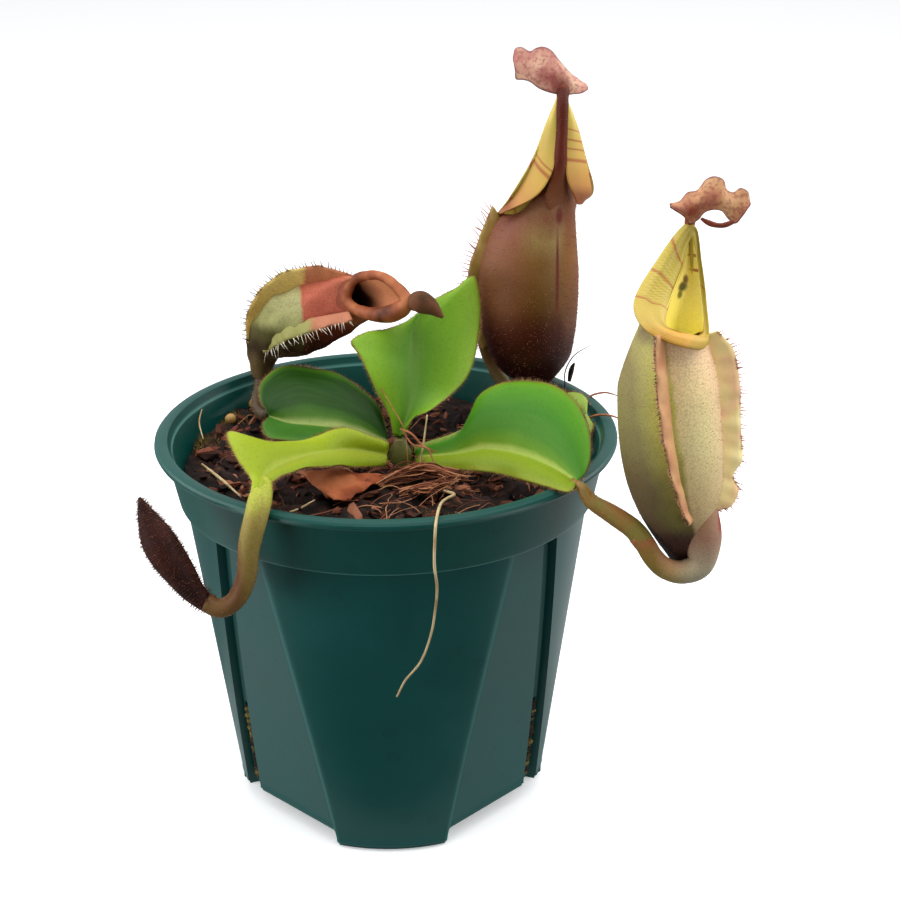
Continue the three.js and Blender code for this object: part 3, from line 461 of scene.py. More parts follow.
def makePot():
    p = pot
    foot, top, under, floor = p["collarFoot"], p["height"], p["floorUnder"], p["floorTop"]
    lip, boss = p["lipRadius"], p["bossRadius"]
    inner = lip - p["lipWidth"]
    collarFoot, collarTop = p["collarFootRadius"], p["collarTopRadius"]
    outside = [(0, 0), (boss - 0.4, 0), (boss, 0.4), (boss, under)]
    rows = [circleRow(radius, height) for radius, height in outside]
    base = ((under, 2.4), (0.4, 2.2), (0, 1.9), (0, 0.9), (0.15, 0.5))
    rows += [bodyRow(0, height, inset) for height, inset in base]
    feet = ((1.1, 0.35), (1.25, -0.1), (1.5, -0.22), (2.1, 0))
    rows += [bodyRow(height, height, inset, 0.3) for height, inset in feet]
    slitFoot = len(rows) + 4
    levels = [floor] + even(4, floor + 2, p["slitTop"])
    sills = ((under, 0.35), (5.7, 0.35), (5.85, -0.12), (6.1, -0.12))
    rows += [bodyRow(height, height, 0, inset) for height, inset in sills]
    rows += [bodyRow(h, h) for h in levels]
    slitHead = len(rows) - 1
    rows += [bodyRow(h, h) for h in even(8, p["slitTop"] + 6, foot - 0.4) + [foot]]
    collar = [(collarFoot - 0.35, foot), (collarFoot - 0.05, foot + 0.12), (collarFoot + 0.1, foot + 0.5)]
    collar += [(collarFoot + 0.1 + 2.8 * s,
                foot + 0.5 + (top - p["lipHeight"] - foot - 1) * s) for s in even(8)]
    collar += [(collarTop + 0.3, top - 2.15), (lip - 0.9, top - 2.1), (lip - 0.25, top - 1.85),
               (lip, top - 1.3)]
    collar += [(lip - 0.1, top - 0.7), (lip - 0.5, top - 0.2), (lip - 1.2, top), (inner + 0.7, top)]
    collar += [(inner + 0.2, top - 0.2), (inner, top - 0.8), (collarTop - 1.8, top - 2.6),
               (collarFoot - 1.8, foot + 1.8)]
    rows += [circleRow(radius, height) for radius, height in collar]
    rows += [bodyRow(foot, foot + 1.8, p["wall"])]
    wellHead = len(rows) + 3
    rows += [bodyRow(h, h, p["wall"]) for h in even(2, foot - 8, p["slitTop"] + 10) + levels[::-1]]
    wellFoot = len(rows) - 1
    rows += [circleRow(0, floor)]
    # the slits: faces of the grooves are left out of both walls, and the holes' edges are bridged
    half, slit = p["around"] // 2, p["slitColumn"]
    columns = [slit, half - slit - 1, half + slit, 2 * half - slit - 1]
    opened = list(range(slitFoot, slitHead)) + list(range(wellHead, wellFoot))
    shell = sheetOf("moulded_pot", rows, ring=True,
                    holes=[(row, column) for row in opened for column in columns])
    edges = shell.data.edges
    for x, y in ((1, 1), (1, -1), (-1, -1), (-1, 1)):
        uses = {key: 0 for key in shell.data.edge_keys}
        for face in shell.data.polygons:
            for key in face.edge_keys:
                uses[key] += 1
        for edge in edges:
            middle = (shell.data.vertices[edge.vertices[0]].co + shell.data.vertices[edge.vertices[1]].co) / 2
            edge.select = uses[edge.key] == 1 and middle.x * x > 0 and middle.y * y > 0 and middle.z > 0.002
        bpy.ops.object.mode_set(mode="EDIT")
        bpy.ops.mesh.bridge_edge_loops()
        bpy.ops.mesh.select_all(action="DESELECT")
        bpy.ops.object.mode_set(mode="OBJECT")
    bpy.ops.object.mode_set(mode="EDIT")
    bpy.ops.mesh.select_all(action="SELECT")
    bpy.ops.mesh.normals_make_consistent(inside=False)
    bpy.ops.object.mode_set(mode="OBJECT")
    bpy.ops.object.shade_smooth_by_angle(angle=math.radians(28))
    return shell


def potPlastic():
    # polypropylene, moulded: even satin gloss, faint flow clouds, pale corners and edge lines that are
    # painted highlights, the corners with some wear, fine dust and the marks of dried drops
    material, tree, where = newMaterial("moulded_polypropylene", roughness=0.34, ior=1.49, specular=0.34)
    cloud = addNode(tree, "TexNoise", {0: where, "Scale": 28, "Detail": 4})
    base = addNode(tree, "ValToRGB", {0: cloud}, stops=[(0.3, "03403d"), (0.55, "044441"), (0.75, "084a47")])
    height = addNode(tree, "SeparateXYZ", {0: where}, 2)
    collar = addNode(tree, "MapRange", {0: height, 1: 0.0861, 2: 0.0863})
    # the corners between the front panel and the facets, from the strips of the shell's own UV map, painted
    # paler: a painted highlight along each crisp corner, with some wear
    turn = addNode(tree, "SeparateXYZ", {0: addNode(tree, "TexCoord", out=2)})
    folded = addNode(tree, "Math", {0: turn, 1: 0.25}, operation="PINGPONG")
    near = addNode(tree, "Math", {0: folded, 1: pot["panelSteps"] / pot["around"]}, operation="SUBTRACT")
    off = addNode(tree, "Math", {0: near}, operation="ABSOLUTE")
    corner = addNode(tree, "ValToRGB", {0: off}, stops=[(0.0, 0.55), (0.0012, 0.25), (0.0026, 0.0)])
    below = addNode(tree, "MapRange", {0: height, 1: 0.085, 2: 0.086, 3: 1, 4: 0})
    cornerHighlightAndWear = addNode(tree, "Math", {0: corner, 1: below}, operation="MULTIPLY")
    # pale lines at the foot band, the collar's foot and under the lip: painted highlights where these edges
    # catch the light
    rise = addNode(tree, "Math", {0: height, 1: 0.1024}, operation="DIVIDE")
    marks = [(0.059, 0.0), (0.0598, 0.4), (0.0612, 0.0), (0.8415, 0.0), (0.8428, 0.7), (0.845, 0.0),
             (0.973, 0.0), (0.975, 0.9), (0.979, 0.9), (0.9815, 0.0)]
    edges = addNode(tree, "ValToRGB", {0: rise}, stops=marks)
    # dust a quarter of a millimetre across, drawn at half a millimetre so that it shows
    dust = addNode(tree, "TexNoise", {0: where, "Scale": 1900, "Detail": 1})
    specks = addNode(tree, "ValToRGB", {0: dust}, stops=[(0.74, 0.0), (0.8, 0.45)])
    # rings that drops of water left as they dried, 2 to 4 mm across
    cells = addNode(tree, "TexVoronoi", {0: where, "Scale": 120, "Randomness": 1})
    stops = [(0.0, 0.08), (0.14, 0.04), (0.18, 0.22), (0.22, 0.0)]
    rings = addNode(tree, "ValToRGB", {0: cells}, stops=stops)
    drift = addNode(tree, "TexNoise", {0: where, "Scale": 45, "Detail": 2})
    few = addNode(tree, "MapRange", {0: drift, 1: 0.5, 2: 0.56})
    shown = addNode(tree, "Math", {0: rings, 1: few}, operation="MULTIPLY")
    # the collar is a little duller
    upper = addNode(tree, "MapRange", {0: height, 1: 0.0861, 2: 0.0863, 3: 0, 4: 0.06})
    sheen = addNode(tree, "MapRange", {0: cloud, 1: 0.3, 2: 0.7, 3: 0.28, 4: 0.4})
    gloss = addNode(tree, "Math", {0: sheen, 1: upper}, operation="ADD")
    tree.links.new(gloss, tree.nodes["Principled BSDF"].inputs["Roughness"])
    grain = addNode(tree, "TexNoise", {0: where, "Scale": 900, "Detail": 2})
    # the pale corner and edge coats are painted highlights; the corners also carry some wear
    coats = [(collar, "05443e"), (cornerHighlightAndWear, "3f7a74"), (edges, "5f9890"), (specks, "2f5f5a"), (shown, "011c1b")]
    return finish(material, base, coats, grain, strength=0.08, depth=0.0002)


settle(makePot(), "pot_plastic", potPlastic(), "pot")
print("pot is in")


# Potting mix: composted bark in chunks with coir and moss, damp and dark.
mix = {"level": 91.5, "radius": 52.7, "litterEdge": 52, "chips": 700, "fibres": 190, "tufts": 420}


def soilHeight(x, y):
    def mound(mx, my, width, height):
        return height * math.exp(-((x - mx) ** 2 + (y - my) ** 2) / (2 * width ** 2))

    lumps = 0.9 * math.sin(0.33 * x + 1.3) * math.cos(0.29 * y + 0.4)
    lumps += 0.6 * math.sin(0.61 * x - 0.47 * y) + 0.4 * math.cos(0.9 * x + 0.7 * y)
    return mix["level"] + mound(-38, 30, 15, 4.5) + mound(-46, -8, 14, 2) + mound(46, 24, 14, 1.5) + lumps


def mixRows():
    foot, top = pot["floorTop"] + 0.3, pot["collarFoot"]
    inset = pot["wall"] + 0.5
    shoulder = top + pot["wall"] + 0.3
    rows = [circleRow(0, foot)]
    for height in even(10, foot, top):
        rows.append([p * (1 - 0.012 * (1 + noise.noise(p * 0.6))) for p in bodyRow(height, height, inset)])
        for p in rows[-1]:
            p.z = height
    rows += [bodyRow(top, shoulder, inset), circleRow(pot["collarFootRadius"] - inset, shoulder)]
    for radius in even(44, mix["radius"] - 0.2, 0):
        row = circleRow(radius, 0)
        for p in row:
            crumbs = noise.noise(Vector((p.x, p.y, 0)) * 0.45) * 1.1
            crumbs += noise.noise(Vector((p.x, p.y, 7)) * 1.3) * 0.5
            p.z = soilHeight(p.x, p.y) + (crumbs if radius else 0)
        rows.append(row)
    return rows


def barkMix():
    # bark compost: near-black where wet, red-brown where a chunk has dried
    material, tree, where = newMaterial("composted_bark", roughness=0.85, ior=1.4, specular=0.3)
    crumbs = addNode(tree, "TexNoise", {0: where, "Scale": 260, "Detail": 6})
    stops = [(0.35, "090504"), (0.5, "1a0e0a"), (0.62, "301c14"), (0.75, "5a3b29")]
    colour = addNode(tree, "ValToRGB", {0: crumbs}, stops=stops)
    # paler and mossy low down, where the slits let light in
    low = addNode(tree, "MapRange", {0: addNode(tree, "SeparateXYZ", {0: where}, 2), 1: 0.04, 2: 0.03})
    patches = addNode(tree, "TexNoise", {0: where, "Scale": 170, "Detail": 3})
    stops = [(0.35, "7a5a44"), (0.47, "9a7a62"), (0.53, "6d8434"), (0.65, "8fa044")]
    mossy = addNode(tree, "ValToRGB", {0: patches}, stops=stops)
    return finish(material, colour, [(low, mossy)], crumbs, strength=0.8, depth=0.001)


cover("bark_bed", mixRows(), "bark_mix", barkMix(), "potting_mix")

# Litter on the mix: chunks and splinters of bark, coir, moss, three beads of fertiliser and a few straws.
litter = {
    "named": [  # place, size, turn
        ((-47, 3), (9, 5, 3), 0.4), ((-40, -14), (8, 5, 3.4), 2.1), ((-45, 17), (7, 4.5, 3), 1.2),
        ((-24, -32), (8, 4.5, 2.6), 2.7),
        ((50, 6), (7, 4, 3), 1.5), ((24, -38), (9, 4.5, 2.6), 0.2), ((-16, 47), (8, 5, 3), 0.1),
        ((12, 46), (9, 4, 3), 2.6),
    ],
    "beads": [(-37.2, 36, 1.5), (-34.6, 37.5, 1.4), (-42.5, 22.5, 1.6)],
    "bundles": [  # how many strands, and the line that they follow
        (90, [(-2.4, -17.4, 93.6), (2, -13.2, 94.8), (9, -10.6, 95.2), (15, -11.5, 94.8), (22, -13.4, 93.8)]),
        (50, [(2, -20, 92.8), (8, -22.6, 93.8), (14, -21, 94.4), (18, -16, 94), (14, -12, 93.8)]),
    ],
    "straws": [
        {"points": [(-47.3, -9.6, 97), (-41.4, -19, 96.5), (-36.1, -26.3, 95)], "radius": 0.4},
        {"points": [(-50.2, 22.6, 99.5), (-50.4, 16.5, 98.2), (-48.8, 9.6, 96)], "radius": 0.22},
        {"points": [(10.6, -3, 107.1), (9.7, -5, 100.9), (8, -9, 92.8)], "radius": 0.28},
        {"points": [(-27.2, -33, 92.8), (-22.2, -33.4, 94.4), (-17.7, -27.8, 94.6)], "radius": 0.25},
    ],
    "dark": [
        {"points": [(47.8, 26, 96), (48.7, 28, 102.8), (48.9, 30, 106.4), (51.4, 32, 110.2),
                    (56, 33, 112.9)], "radius": 0.2},
        {"points": [(50, 29.6, 103.6), (50.3, 29.8, 105.4), (50.7, 29.6, 107.4), (51.3, 29.4, 109)],
         "radius": 0.7},
    ],
    "coir": [
        {"points": [(49, 19.5, 95), (53.6, 20.8, 101.6), (58.6, 20.6, 103.6), (63.4, 18.6, 103)],
         "radius": 0.28},
        {"points": [(49.5, 10, 95), (53.8, 7.6, 101.6), (58.6, 4, 103.5), (63.6, 0.4, 102.6)],
         "radius": 0.28},
        {"points": [(-1.6, 2.4, 113.4), (1, -0.8, 109.6), (4.6, -4, 103.4), (5.6, -8, 94)], "radius": 0.16},
        {"points": [(3.6, -4.4, 103.8), (6.4, -6.6, 103.4), (9.4, -7.6, 100.4), (13, -8, 98.6)],
         "radius": 0.32},
        {"points": [(4.4, -5, 103.2), (6.8, -7.2, 100.6), (10.4, -8, 99.8), (12.4, -9, 95.4)],
         "radius": 0.28},
    ],
    "moss": [(-41, 24), (-28, -27), (12, -36), (-50, 10)],
    "hanging": [  # from the middle of the mix over the lip and down the pot
        (14.2, -20.5, 93.4), (16.9, -26, 94.8), (15, -34, 97.2), (13.2, -48, 102), (12.3, -57, 103.6),
        (11.8, -60.8, 102.6), (11.5, -61.4, 98), (11.4, -60.8, 92), (12, -58.4, 85), (11.5, -55.6, 77.4),
        (10.5, -54.2, 70.4), (7.8, -53.4, 62.3), (4.1, -52.6, 57), (2, -52, 52.2),
    ],
}


def chunkShape():
    # lump of bark: a coarse ball with its corners knocked about
    points, faces = pattern(bpy.ops.mesh.primitive_ico_sphere_add, subdivisions=1, radius=0.5)
    return [p * (0.75 + 0.6 * chance.random()) for p in points], faces


def strandShape(sag, sway):
    # one strand of unit length that bows and sways, for copiesOf to stretch
    rows = []
    for s in even(6):
        x, y = sway * math.sin(2 * math.pi * s), sag * math.sin(math.pi * s)
        rows.append([Vector((x + math.cos(t), y + math.sin(t), s)) / mm for t in turnsOf(4)])
    return pattern(sheetOf, name="strand", rows=closed(rows), ring=True)


def lying(x, y, size, turn, lift=0, tip=0.25):
    place = Matrix.Translation((x, y, soilHeight(x, y) + lift)) @ Matrix.Rotation(turn, 4, "Z")
    place @= Matrix.Rotation(spread(tip), 4, "X") @ Matrix.Rotation(spread(tip), 4, "Y")
    return place @ Matrix.Diagonal((*size, 1))


def onMix(reach):
    turn, radius = chance.random() * 2 * math.pi, reach * math.sqrt(chance.random())
    return radius * math.cos(turn), radius * math.sin(turn)


def strewBark(chunks):
    # the smaller a chunk, the nearer it may lie to the wall; each named slab is two chunks in one
    bark = mottled("split_bark", ["120907", "28150e", "462417", "6a3625", "966046"],
                   scale=420, roughness=0.85, relief=0.9, byPiece=0.62)
    places = []
    for k in range(mix["chips"]):
        x, y = onMix(50)
        long = min(1.5 + 6.5 * chance.random() ** 2.6, 2 + (mix["litterEdge"] - math.hypot(x, y)) * 1.4)
        size = long, long * (0.2 + 0.45 * chance.random()), long * 0.2 + 0.5
        places.append(lying(x, y, size, chance.random() * 7, lift=0.3, tip=0.7))
    scatter("bark_chunks", chunks, places, "bark", bark)
    for k, ((x, y), (long, wide, high), turn) in enumerate(litter["named"]):
        slab = [lying(x, y, (long, wide, high), turn, lift=0.8, tip=0.1)]
        slab.append(lying(x, y, (long, wide * 0.6, high), turn + 0.3, lift=1.4, tip=0.2))
        scatter(f"bark_slab_{k + 1}", chunks, slab, "bark", bark, f"bark_chip_{k + 1}")


def layBeads():
    resin = mottled("resin_coated_bead", ["8a6430", "b08a50", "c8a568"], scale=260, roughness=0.35)
    ball = pattern(bpy.ops.mesh.primitive_uv_sphere_add, segments=20, ring_count=12, radius=1)
    for k, (x, y, radius) in enumerate(litter["beads"]):
        place = [lying(x, y, (radius,) * 3, 0, lift=radius * 0.6, tip=0)]
        bead = scatter(f"fertiliser_bead_{k + 1}", [ball], place, "pellet", resin, f"pellet_{k + 1}")
        bead.data.shade_smooth()


def layCoir(strands):
    coir = mottled("coir_fibre", ["4e2616", "74402a", "94563a", "b07c58"],
                   scale=200, roughness=0.8, relief=0.2, byPiece=0.9)
    places = []
    for count, path in litter["bundles"]:
        for k in range(count):
            start = chance.random() * 0.5
            a, b = line(path, [start, min(1, start + 0.3 + 0.25 * chance.random())])
            shift = jitter(1, 1.4, 0.8)
            a, b = a + shift, b + shift + jitter(0.7, 0.9, 0.3)
            places.append(standing(a, (b - a).normalized(), (b - a).length, 0.1 + 0.14 * chance.random()))
    scatter("coir_strands", strands, places, "coir", coir, "coir_bundle")
    places = []
    for k in range(mix["fibres"]):
        x, y = onMix(44) if k % 3 else (spread(22) + 8, spread(14) - 16)
        way = jitter(1, 1, 0.22).normalized()
        root = Vector((x, y, soilHeight(x, y) + 0.9 + 0.6 * chance.random()))
        long = min(4 + 9 * chance.random(), mix["litterEdge"] - 1 - math.hypot(x, y))
        places.append(standing(root, way, long, 0.07 + 0.08 * chance.random()))
    scatter("loose_coir", strands, places, "coir", coir)


def growMoss():
    moss = mottled("damp_moss", ["3a2a14", "6a5a28", "98854a"], scale=300, roughness=0.9)
    places = []
    for k in range(mix["tufts"]):
        x, y = litter["moss"][k % len(litter["moss"])]
        x, y = x + spread(5), y + spread(4)
        inward = min(1, (mix["litterEdge"] - 1) / math.hypot(x, y))
        x, y = x * inward, y * inward
        way = rough(Vector((0, 0, 1)), 0.8)
        places.append(standing(Vector((x, y, soilHeight(x, y) - 0.2)), way, 1 + 1.6 * chance.random(), 0.16))
    scatter("moss_tufts", [hair], places, "bark_mix", moss)


def layStrays(straw):
    looks = {"straws": straw, "dark": mottled("dark_rootlet", ["140f0e", "33211c"], scale=300, roughness=0.7),
             "coir": mottled("coir_strand", ["8a4c2e", "b87c54"], scale=300, roughness=0.8)}
    for key, look in looks.items():
        for k, thing in enumerate(litter[key]):
            radii = [thing["radius"] * share for share in (0.7, 1, 1, 0.4)]
            cover(f"stray_{key}_{k + 1}", tubeRows(thing["points"], 24, radii, 6), "coir", look)


def fillSlits(chunks):
    # damp crumbs and moss that the slits let through
    mossy = mottled("mossy_crumbs", ["120c08", "2c2014", "4a3a1e", "6c5c2c"],
                    scale=300, roughness=0.85, relief=0.9, byPiece=0.75)
    places = []
    for across, back in ((1, 1), (-1, 1), (-1, -1), (1, -1)):
        for level in even(30, 8, 31.5):
            plan = bodyRow(level, level)
            middle = middleOf(plan[pot["slitColumn"]:pot["slitColumn"] + 2])
            place = Matrix.Translation((middle.x * across, middle.y * back, level + spread(0.5)))
            place @= Matrix.Rotation(chance.random() * 6, 4, "Z") @ Matrix.Rotation(spread(1), 4, "X")
            places.append(place @ Matrix.Diagonal((2.2 + spread(0.5), 2 + spread(0.5), 1.9, 1)))
    scatter("slit_crumbs", chunks, places, "bark_mix", mossy)


chunks = [chunkShape() for k in range(6)]
strands = [strandShape(sag, sway) for sag, sway in ((5, 1), (-4, 3), (9, -2), (2, 5))]
straw = mottled("dry_straw", ["a08458", "d8c49a"], scale=200, roughness=0.6)
strewBark(chunks)
layBeads()
layCoir(strands)
growMoss()
layStrays(straw)
fillSlits(chunks)
cover("hanging_straw", tubeRows(litter["hanging"], 90, [0.42, 0.36, 0.36, 0.32, 0.26], 8), "coir", straw,
      "dry_strand")
print("litter is in")


# Leaves: thick leathery blades, glossy green, with a pale midrib and a hairy margin.
leafLines = {
    "leaf_left_back": {
        "midrib": [(0.2, 0.5, 98.5), (-9.6, 4, 100.4), (-18.4, 7, 100.6), (-25.6, 9, 100.6),
                   (-31.2, 10.5, 102)],
        "left": [(0.2, -0.8, 98), (-12, -2.5, 101.2), (-22, -5, 101), (-30, -3.5, 101.2),
                 (-32.6, 4, 101.8), (-31.4, 9.5, 102)],
        "right": [(0.4, 2, 99.5), (-2.7, 8, 106.5), (-14.3, 20, 110.5), (-27, 26, 110.4),
                  (-33.6, 19, 108.4), (-33.6, 13.5, 105.5), (-31.4, 11, 102.8)],
    },
    "leaf_front_left": {
        "midrib": [(0.2, -2.2, 95.8), (-9.3, -10, 100.5), (-18.8, -24, 105.1), (-25.3, -37, 108),
                   (-28.6, -45.5, 108.8), (-29, -50, 109.3), (-29.6, -54, 107.6)],
        "left": [(0, -4.4, 93.6), (-7.5, -14, 97.4), (-13.2, -23, 101.5), (-18.6, -33, 105.4),
                 (-24.5, -42.4, 107.4), (-26.6, -46.4, 107.5), (-26.6, -50, 107.4), (-27.4, -53.6, 106)],
        "right": [(0.8, -0.8, 98.6), (-4.2, -4, 101.8), (-11.6, -8, 106), (-22.1, -16, 105.3),
                  (-30.3, -26, 110.1), (-38, -36, 115.9), (-35.2, -42, 112), (-31.6, -46.6, 108.4),
                  (-31.4, -50, 107.8), (-31.6, -53.6, 106)],
    },
    "leaf_upright": {
        "midrib": [(3.2, 0, 99.6), (4.9, 2.5, 103.6), (7.1, 7, 110.2), (7.7, 11, 117.1), (7.6, 15, 122.9),
                   (9, 18, 128.4)],
        "left": [(1.8, 0, 100.2), (0.8, 0.5, 105.3), (-3.3, 2, 113.6), (-6.8, 5, 121.1), (-8.9, 8, 123.4),
                 (-5.3, 11, 124.8), (1, 14, 125), (6, 16.5, 126.2), (8.4, 17.8, 127.8)],
        "right": [(4.8, 0, 100), (7.2, -0.5, 105.4), (10.6, 1, 106.3), (20.9, 12, 111.2),
                  (25.1, 19, 122.2), (25, 23, 131.2), (23.4, 24, 136.1), (19.1, 22, 133.5),
                  (13, 19.5, 131), (9.8, 18.4, 128.9)],
    },
    "leaf_right": {
        "midrib": [(7.1, -0.8, 94.5), (15.9, -5, 96.9), (25.9, -14, 102.2), (34.6, -25, 105),
                   (41, -35, 105.6), (46.4, -43.6, 104.9)],
        "left": [(7.2, 0.4, 96), (18.9, -1, 101.4), (24.5, -4, 112.8), (33.3, -10, 119),
                 (43.7, -20, 120.2), (49, -31, 116.5), (49.4, -40, 109.6), (47.2, -43.6, 105.6)],
        "right": [(7, -2, 93.5), (16.5, -9.5, 94.6), (27.1, -22, 98.6), (38.7, -40, 102.6),
                  (44, -46.6, 104), (45.8, -45.4, 104.5)],
    },
    "leaf_right_back": {
        "midrib": [(7, 1.6, 95.5), (20, 5, 97), (34, 8, 98.5), (46, 8.5, 100.5), (53, 8, 102.5)],
        "left": [(6.8, 2.4, 96), (20, 9, 98), (34, 14, 101.5), (46, 14.5, 106), (52, 12, 106.5),
                 (54, 9.5, 104.5)],
        "right": [(7, 0.8, 95), (20, 0.5, 96), (34, 1, 97), (46, 1, 97.5), (53.5, 3, 98.6), (55, 6, 101.2)],
    },
    "dead_leaf": {
        "midrib": [(0.4, -10.6, 93), (-4.6, -14, 93.8), (-10, -20, 95), (-15, -27, 95.4)],
        "left": [(1.4, -11.8, 92.8), (-2.4, -16, 93.6), (-6.6, -22, 94), (-9.9, -28, 94.4), (-13.6, -29, 95)],
        "right": [(-0.6, -9.4, 93.2), (-8, -11, 94.6), (-15, -14, 97), (-20.5, -18, 97.4),
                  (-16.6, -25.6, 96)],
    },
}
leafShape = {"thick": 0.8, "rib": 1.9, "across": 12, "along": 46, "arch": 0.08, "wave": 0.5, "ribWidth": 1.5}


def leafRows(lines, thick=leafShape["thick"], wave=leafShape["wave"], crumple=0):
    # upper and under side of a blade in one closed ring of points per station
    half, steps = leafShape["across"], leafShape["along"]
    left, midrib, right = (line(lines[key], even(steps, 0.005, 0.975)) for key in ("left", "midrib", "right"))
    rows = []
    for i, centre in enumerate(midrib):
        heading = (midrib[min(i + 1, steps)] - midrib[max(i - 1, 0)]).normalized()
        up = (right[i] - left[i]).cross(heading).normalized()
        upper, under = [], []
        for j in range(-half, half + 1):
            share = abs(j) / half
            edge = left[i] if j < 0 else right[i]
            width = (edge - centre).length
            rise = leafShape["arch"] * width * math.sin(math.pi * share)
            phase = 1.3 if j < 0 else 0
            rise += wave * share ** 3 * math.sin(i * 0.42 + phase) * math.sin(math.pi * i / steps)
            crease = math.exp(-(share * width / leafShape["ribWidth"]) ** 2)
            point = centre.lerp(edge, share)
            rise += crumple * noise.noise(point * 0.3)
            body = thick * (1 - 0.75 * share ** 4)
            upper.append(point + up * (rise + body / 2 - 0.35 * crease))
            under.insert(0, point + up * (rise - body / 2 - (leafShape["rib"] - thick) * crease))
        rows.append(upper + under)
    return closed(rows)


leafColours = {
    "leaf_left_back": {
        "across": [(0, "40701c"), (0.1, "2c5c10"), (0.36, "386a20"), (0.44, "76883e"), (0.49, "8a9a54"),
                   (0.54, "3c6418"), (0.62, "163e02"), (0.88, "143a02"), (0.95, "426e1c")],
        "under": "4a6a2a",
    },
    "leaf_front_left": {
        "across": [(0, "7a9012"), (0.2, "86961a"), (0.44, "8a9628"), (0.49, "93a038"), (0.55, "829416"),
                   (0.8, "8a9c14"), (0.95, "98a82c")],
        "under": "7a5f34",
    },
    "leaf_upright": {
        # its band along the midrib, from 0.38 to 0.55, is darker than the flesh at its sides: painted shadow
        # in the midrib's crease
        "across": [(0, "7aa226"), (0.16, "6f9c20"), (0.38, "4f8216"), (0.45, "577f2a"), (0.49, "5e8832"),
                   (0.55, "558420"), (0.8, "6c981e"), (0.95, "82a432")],
        "under": "5f7a30",
    },
    "leaf_right": {
        "across": [(0, "5a8a12"), (0.08, "44800a"), (0.2, "327004"), (0.34, "3c7408"), (0.43, "5f8a1c"),
                   (0.46, "8aa03c"), (0.49, "94a648"), (0.52, "7e9628"), (0.56, "768c14"), (0.8, "768c12"),
                   (0.95, "8a962c")],
        "under": "5a5a22",
    },
    "leaf_right_back": {
        "across": [(0, "88a244"), (0.44, "7c9a34"), (0.49, "8fa650"), (0.95, "88a040")],
        "under": "6c7c34",
    },
}


def leafSkin(name, across, under):
    # living leaf: waxy skin over green flesh, palest along the midrib, brown and hairy at the rim
    material, tree, where = newMaterial("waxy_" + name, roughness=0.48, specular=0.2)
    flow = addNode(tree, "TexCoord", out=2)
    sides = addNode(tree, "SeparateXYZ", {0: flow})
    twice = addNode(tree, "Math", {0: sides, 1: 2}, operation="MULTIPLY")
    doubled = addNode(tree, "Math", {0: twice}, operation="FRACT")
    cloud = addNode(tree, "TexNoise", {0: where, "Scale": 90, "Detail": 3})
    drift = addNode(tree, "MapRange", {0: cloud, 1: 0.3, 2: 0.7, 3: -0.014, 4: 0.014})
    wandering = addNode(tree, "Math", {0: doubled, 1: drift}, operation="ADD")
    green = addNode(tree, "ValToRGB", {0: wandering}, stops=across)
    # long veins about 2 mm apart, paler than the flesh between them
    stretched = addNode(tree, "Mapping", {0: flow, "Scale": (70, 5, 1)})
    veins = addNode(tree, "TexNoise", {0: stretched, "Scale": 1, "Detail": 2})
    veined = addNode(tree, "MapRange", {0: veins, 1: 0.4, 2: 0.75, 3: 0, 4: 0.03})
    specks = addNode(tree, "TexNoise", {0: where, "Scale": 1400, "Detail": 1})
    dotted = addNode(tree, "MapRange", {0: specks, 1: 0.55, 2: 0.7, 3: 0, 4: 0.14})
    middle = leafShape["across"] / (2 * leafShape["across"] + 1)
    offset = addNode(tree, "Math", {0: doubled, 1: middle}, operation="SUBTRACT")
    out = addNode(tree, "Math", {0: offset}, operation="ABSOLUTE")
    rim = addNode(tree, "ValToRGB", {0: out}, stops=[(0.46, 0.0), (0.482, 0.7)])
    below = addNode(tree, "Math", {0: sides, 1: 0.49}, operation="GREATER_THAN")
    fine = addNode(tree, "TexNoise", {0: where, "Scale": 500, "Detail": 3})
    coats = [(veined, "a8bc60"), (dotted, "16300a"), (rim, "7d5a2a"), (below, under)]
    return finish(material, green, coats, fine, strength=0.12)


def dryLeaf():
    # dead leaf: papery, rust brown with darker blotches
    material, tree, where = newMaterial("dried_leaf", roughness=0.75, ior=1.4, specular=0.3)
    cloud = addNode(tree, "TexNoise", {0: where, "Scale": 75, "Detail": 4})
    colour = addNode(tree, "ValToRGB", {0: cloud}, stops=[(0.3, "52220e"), (0.5, "8a4424"), (0.7, "b06a42")])
    return finish(material, colour, height=cloud, strength=0.35, depth=0.0005)


brownHair = mottled("brown_plant_hair", ["5a3a20", "8a6440", "b08c60"],
                    scale=400, roughness=0.6, relief=0.1, byPiece=0.9)
marginHair = {"count": 620, "length": 0.95, "width": 0.05, "mess": 0.7}
for name, colours in leafColours.items():
    lines = leafLines[name]
    cover(name + "_blade", leafRows(lines), "green_leaf", leafSkin(name, **colours), name)
    hairs = [fringe(lines[side], lines["midrib"], **marginHair) for side in ("left", "right")]
    scatter(name + "_hairs", [hair], hairs[0] + hairs[1], "green_leaf", brownHair)
withered = leafRows(leafLines["dead_leaf"], thick=0.7, wave=0.4, crumple=0.5)
cover("dead_leaf_blade", withered, "dry_leaf", dryLeaf(), "dead_leaf")
print("leaves are in")


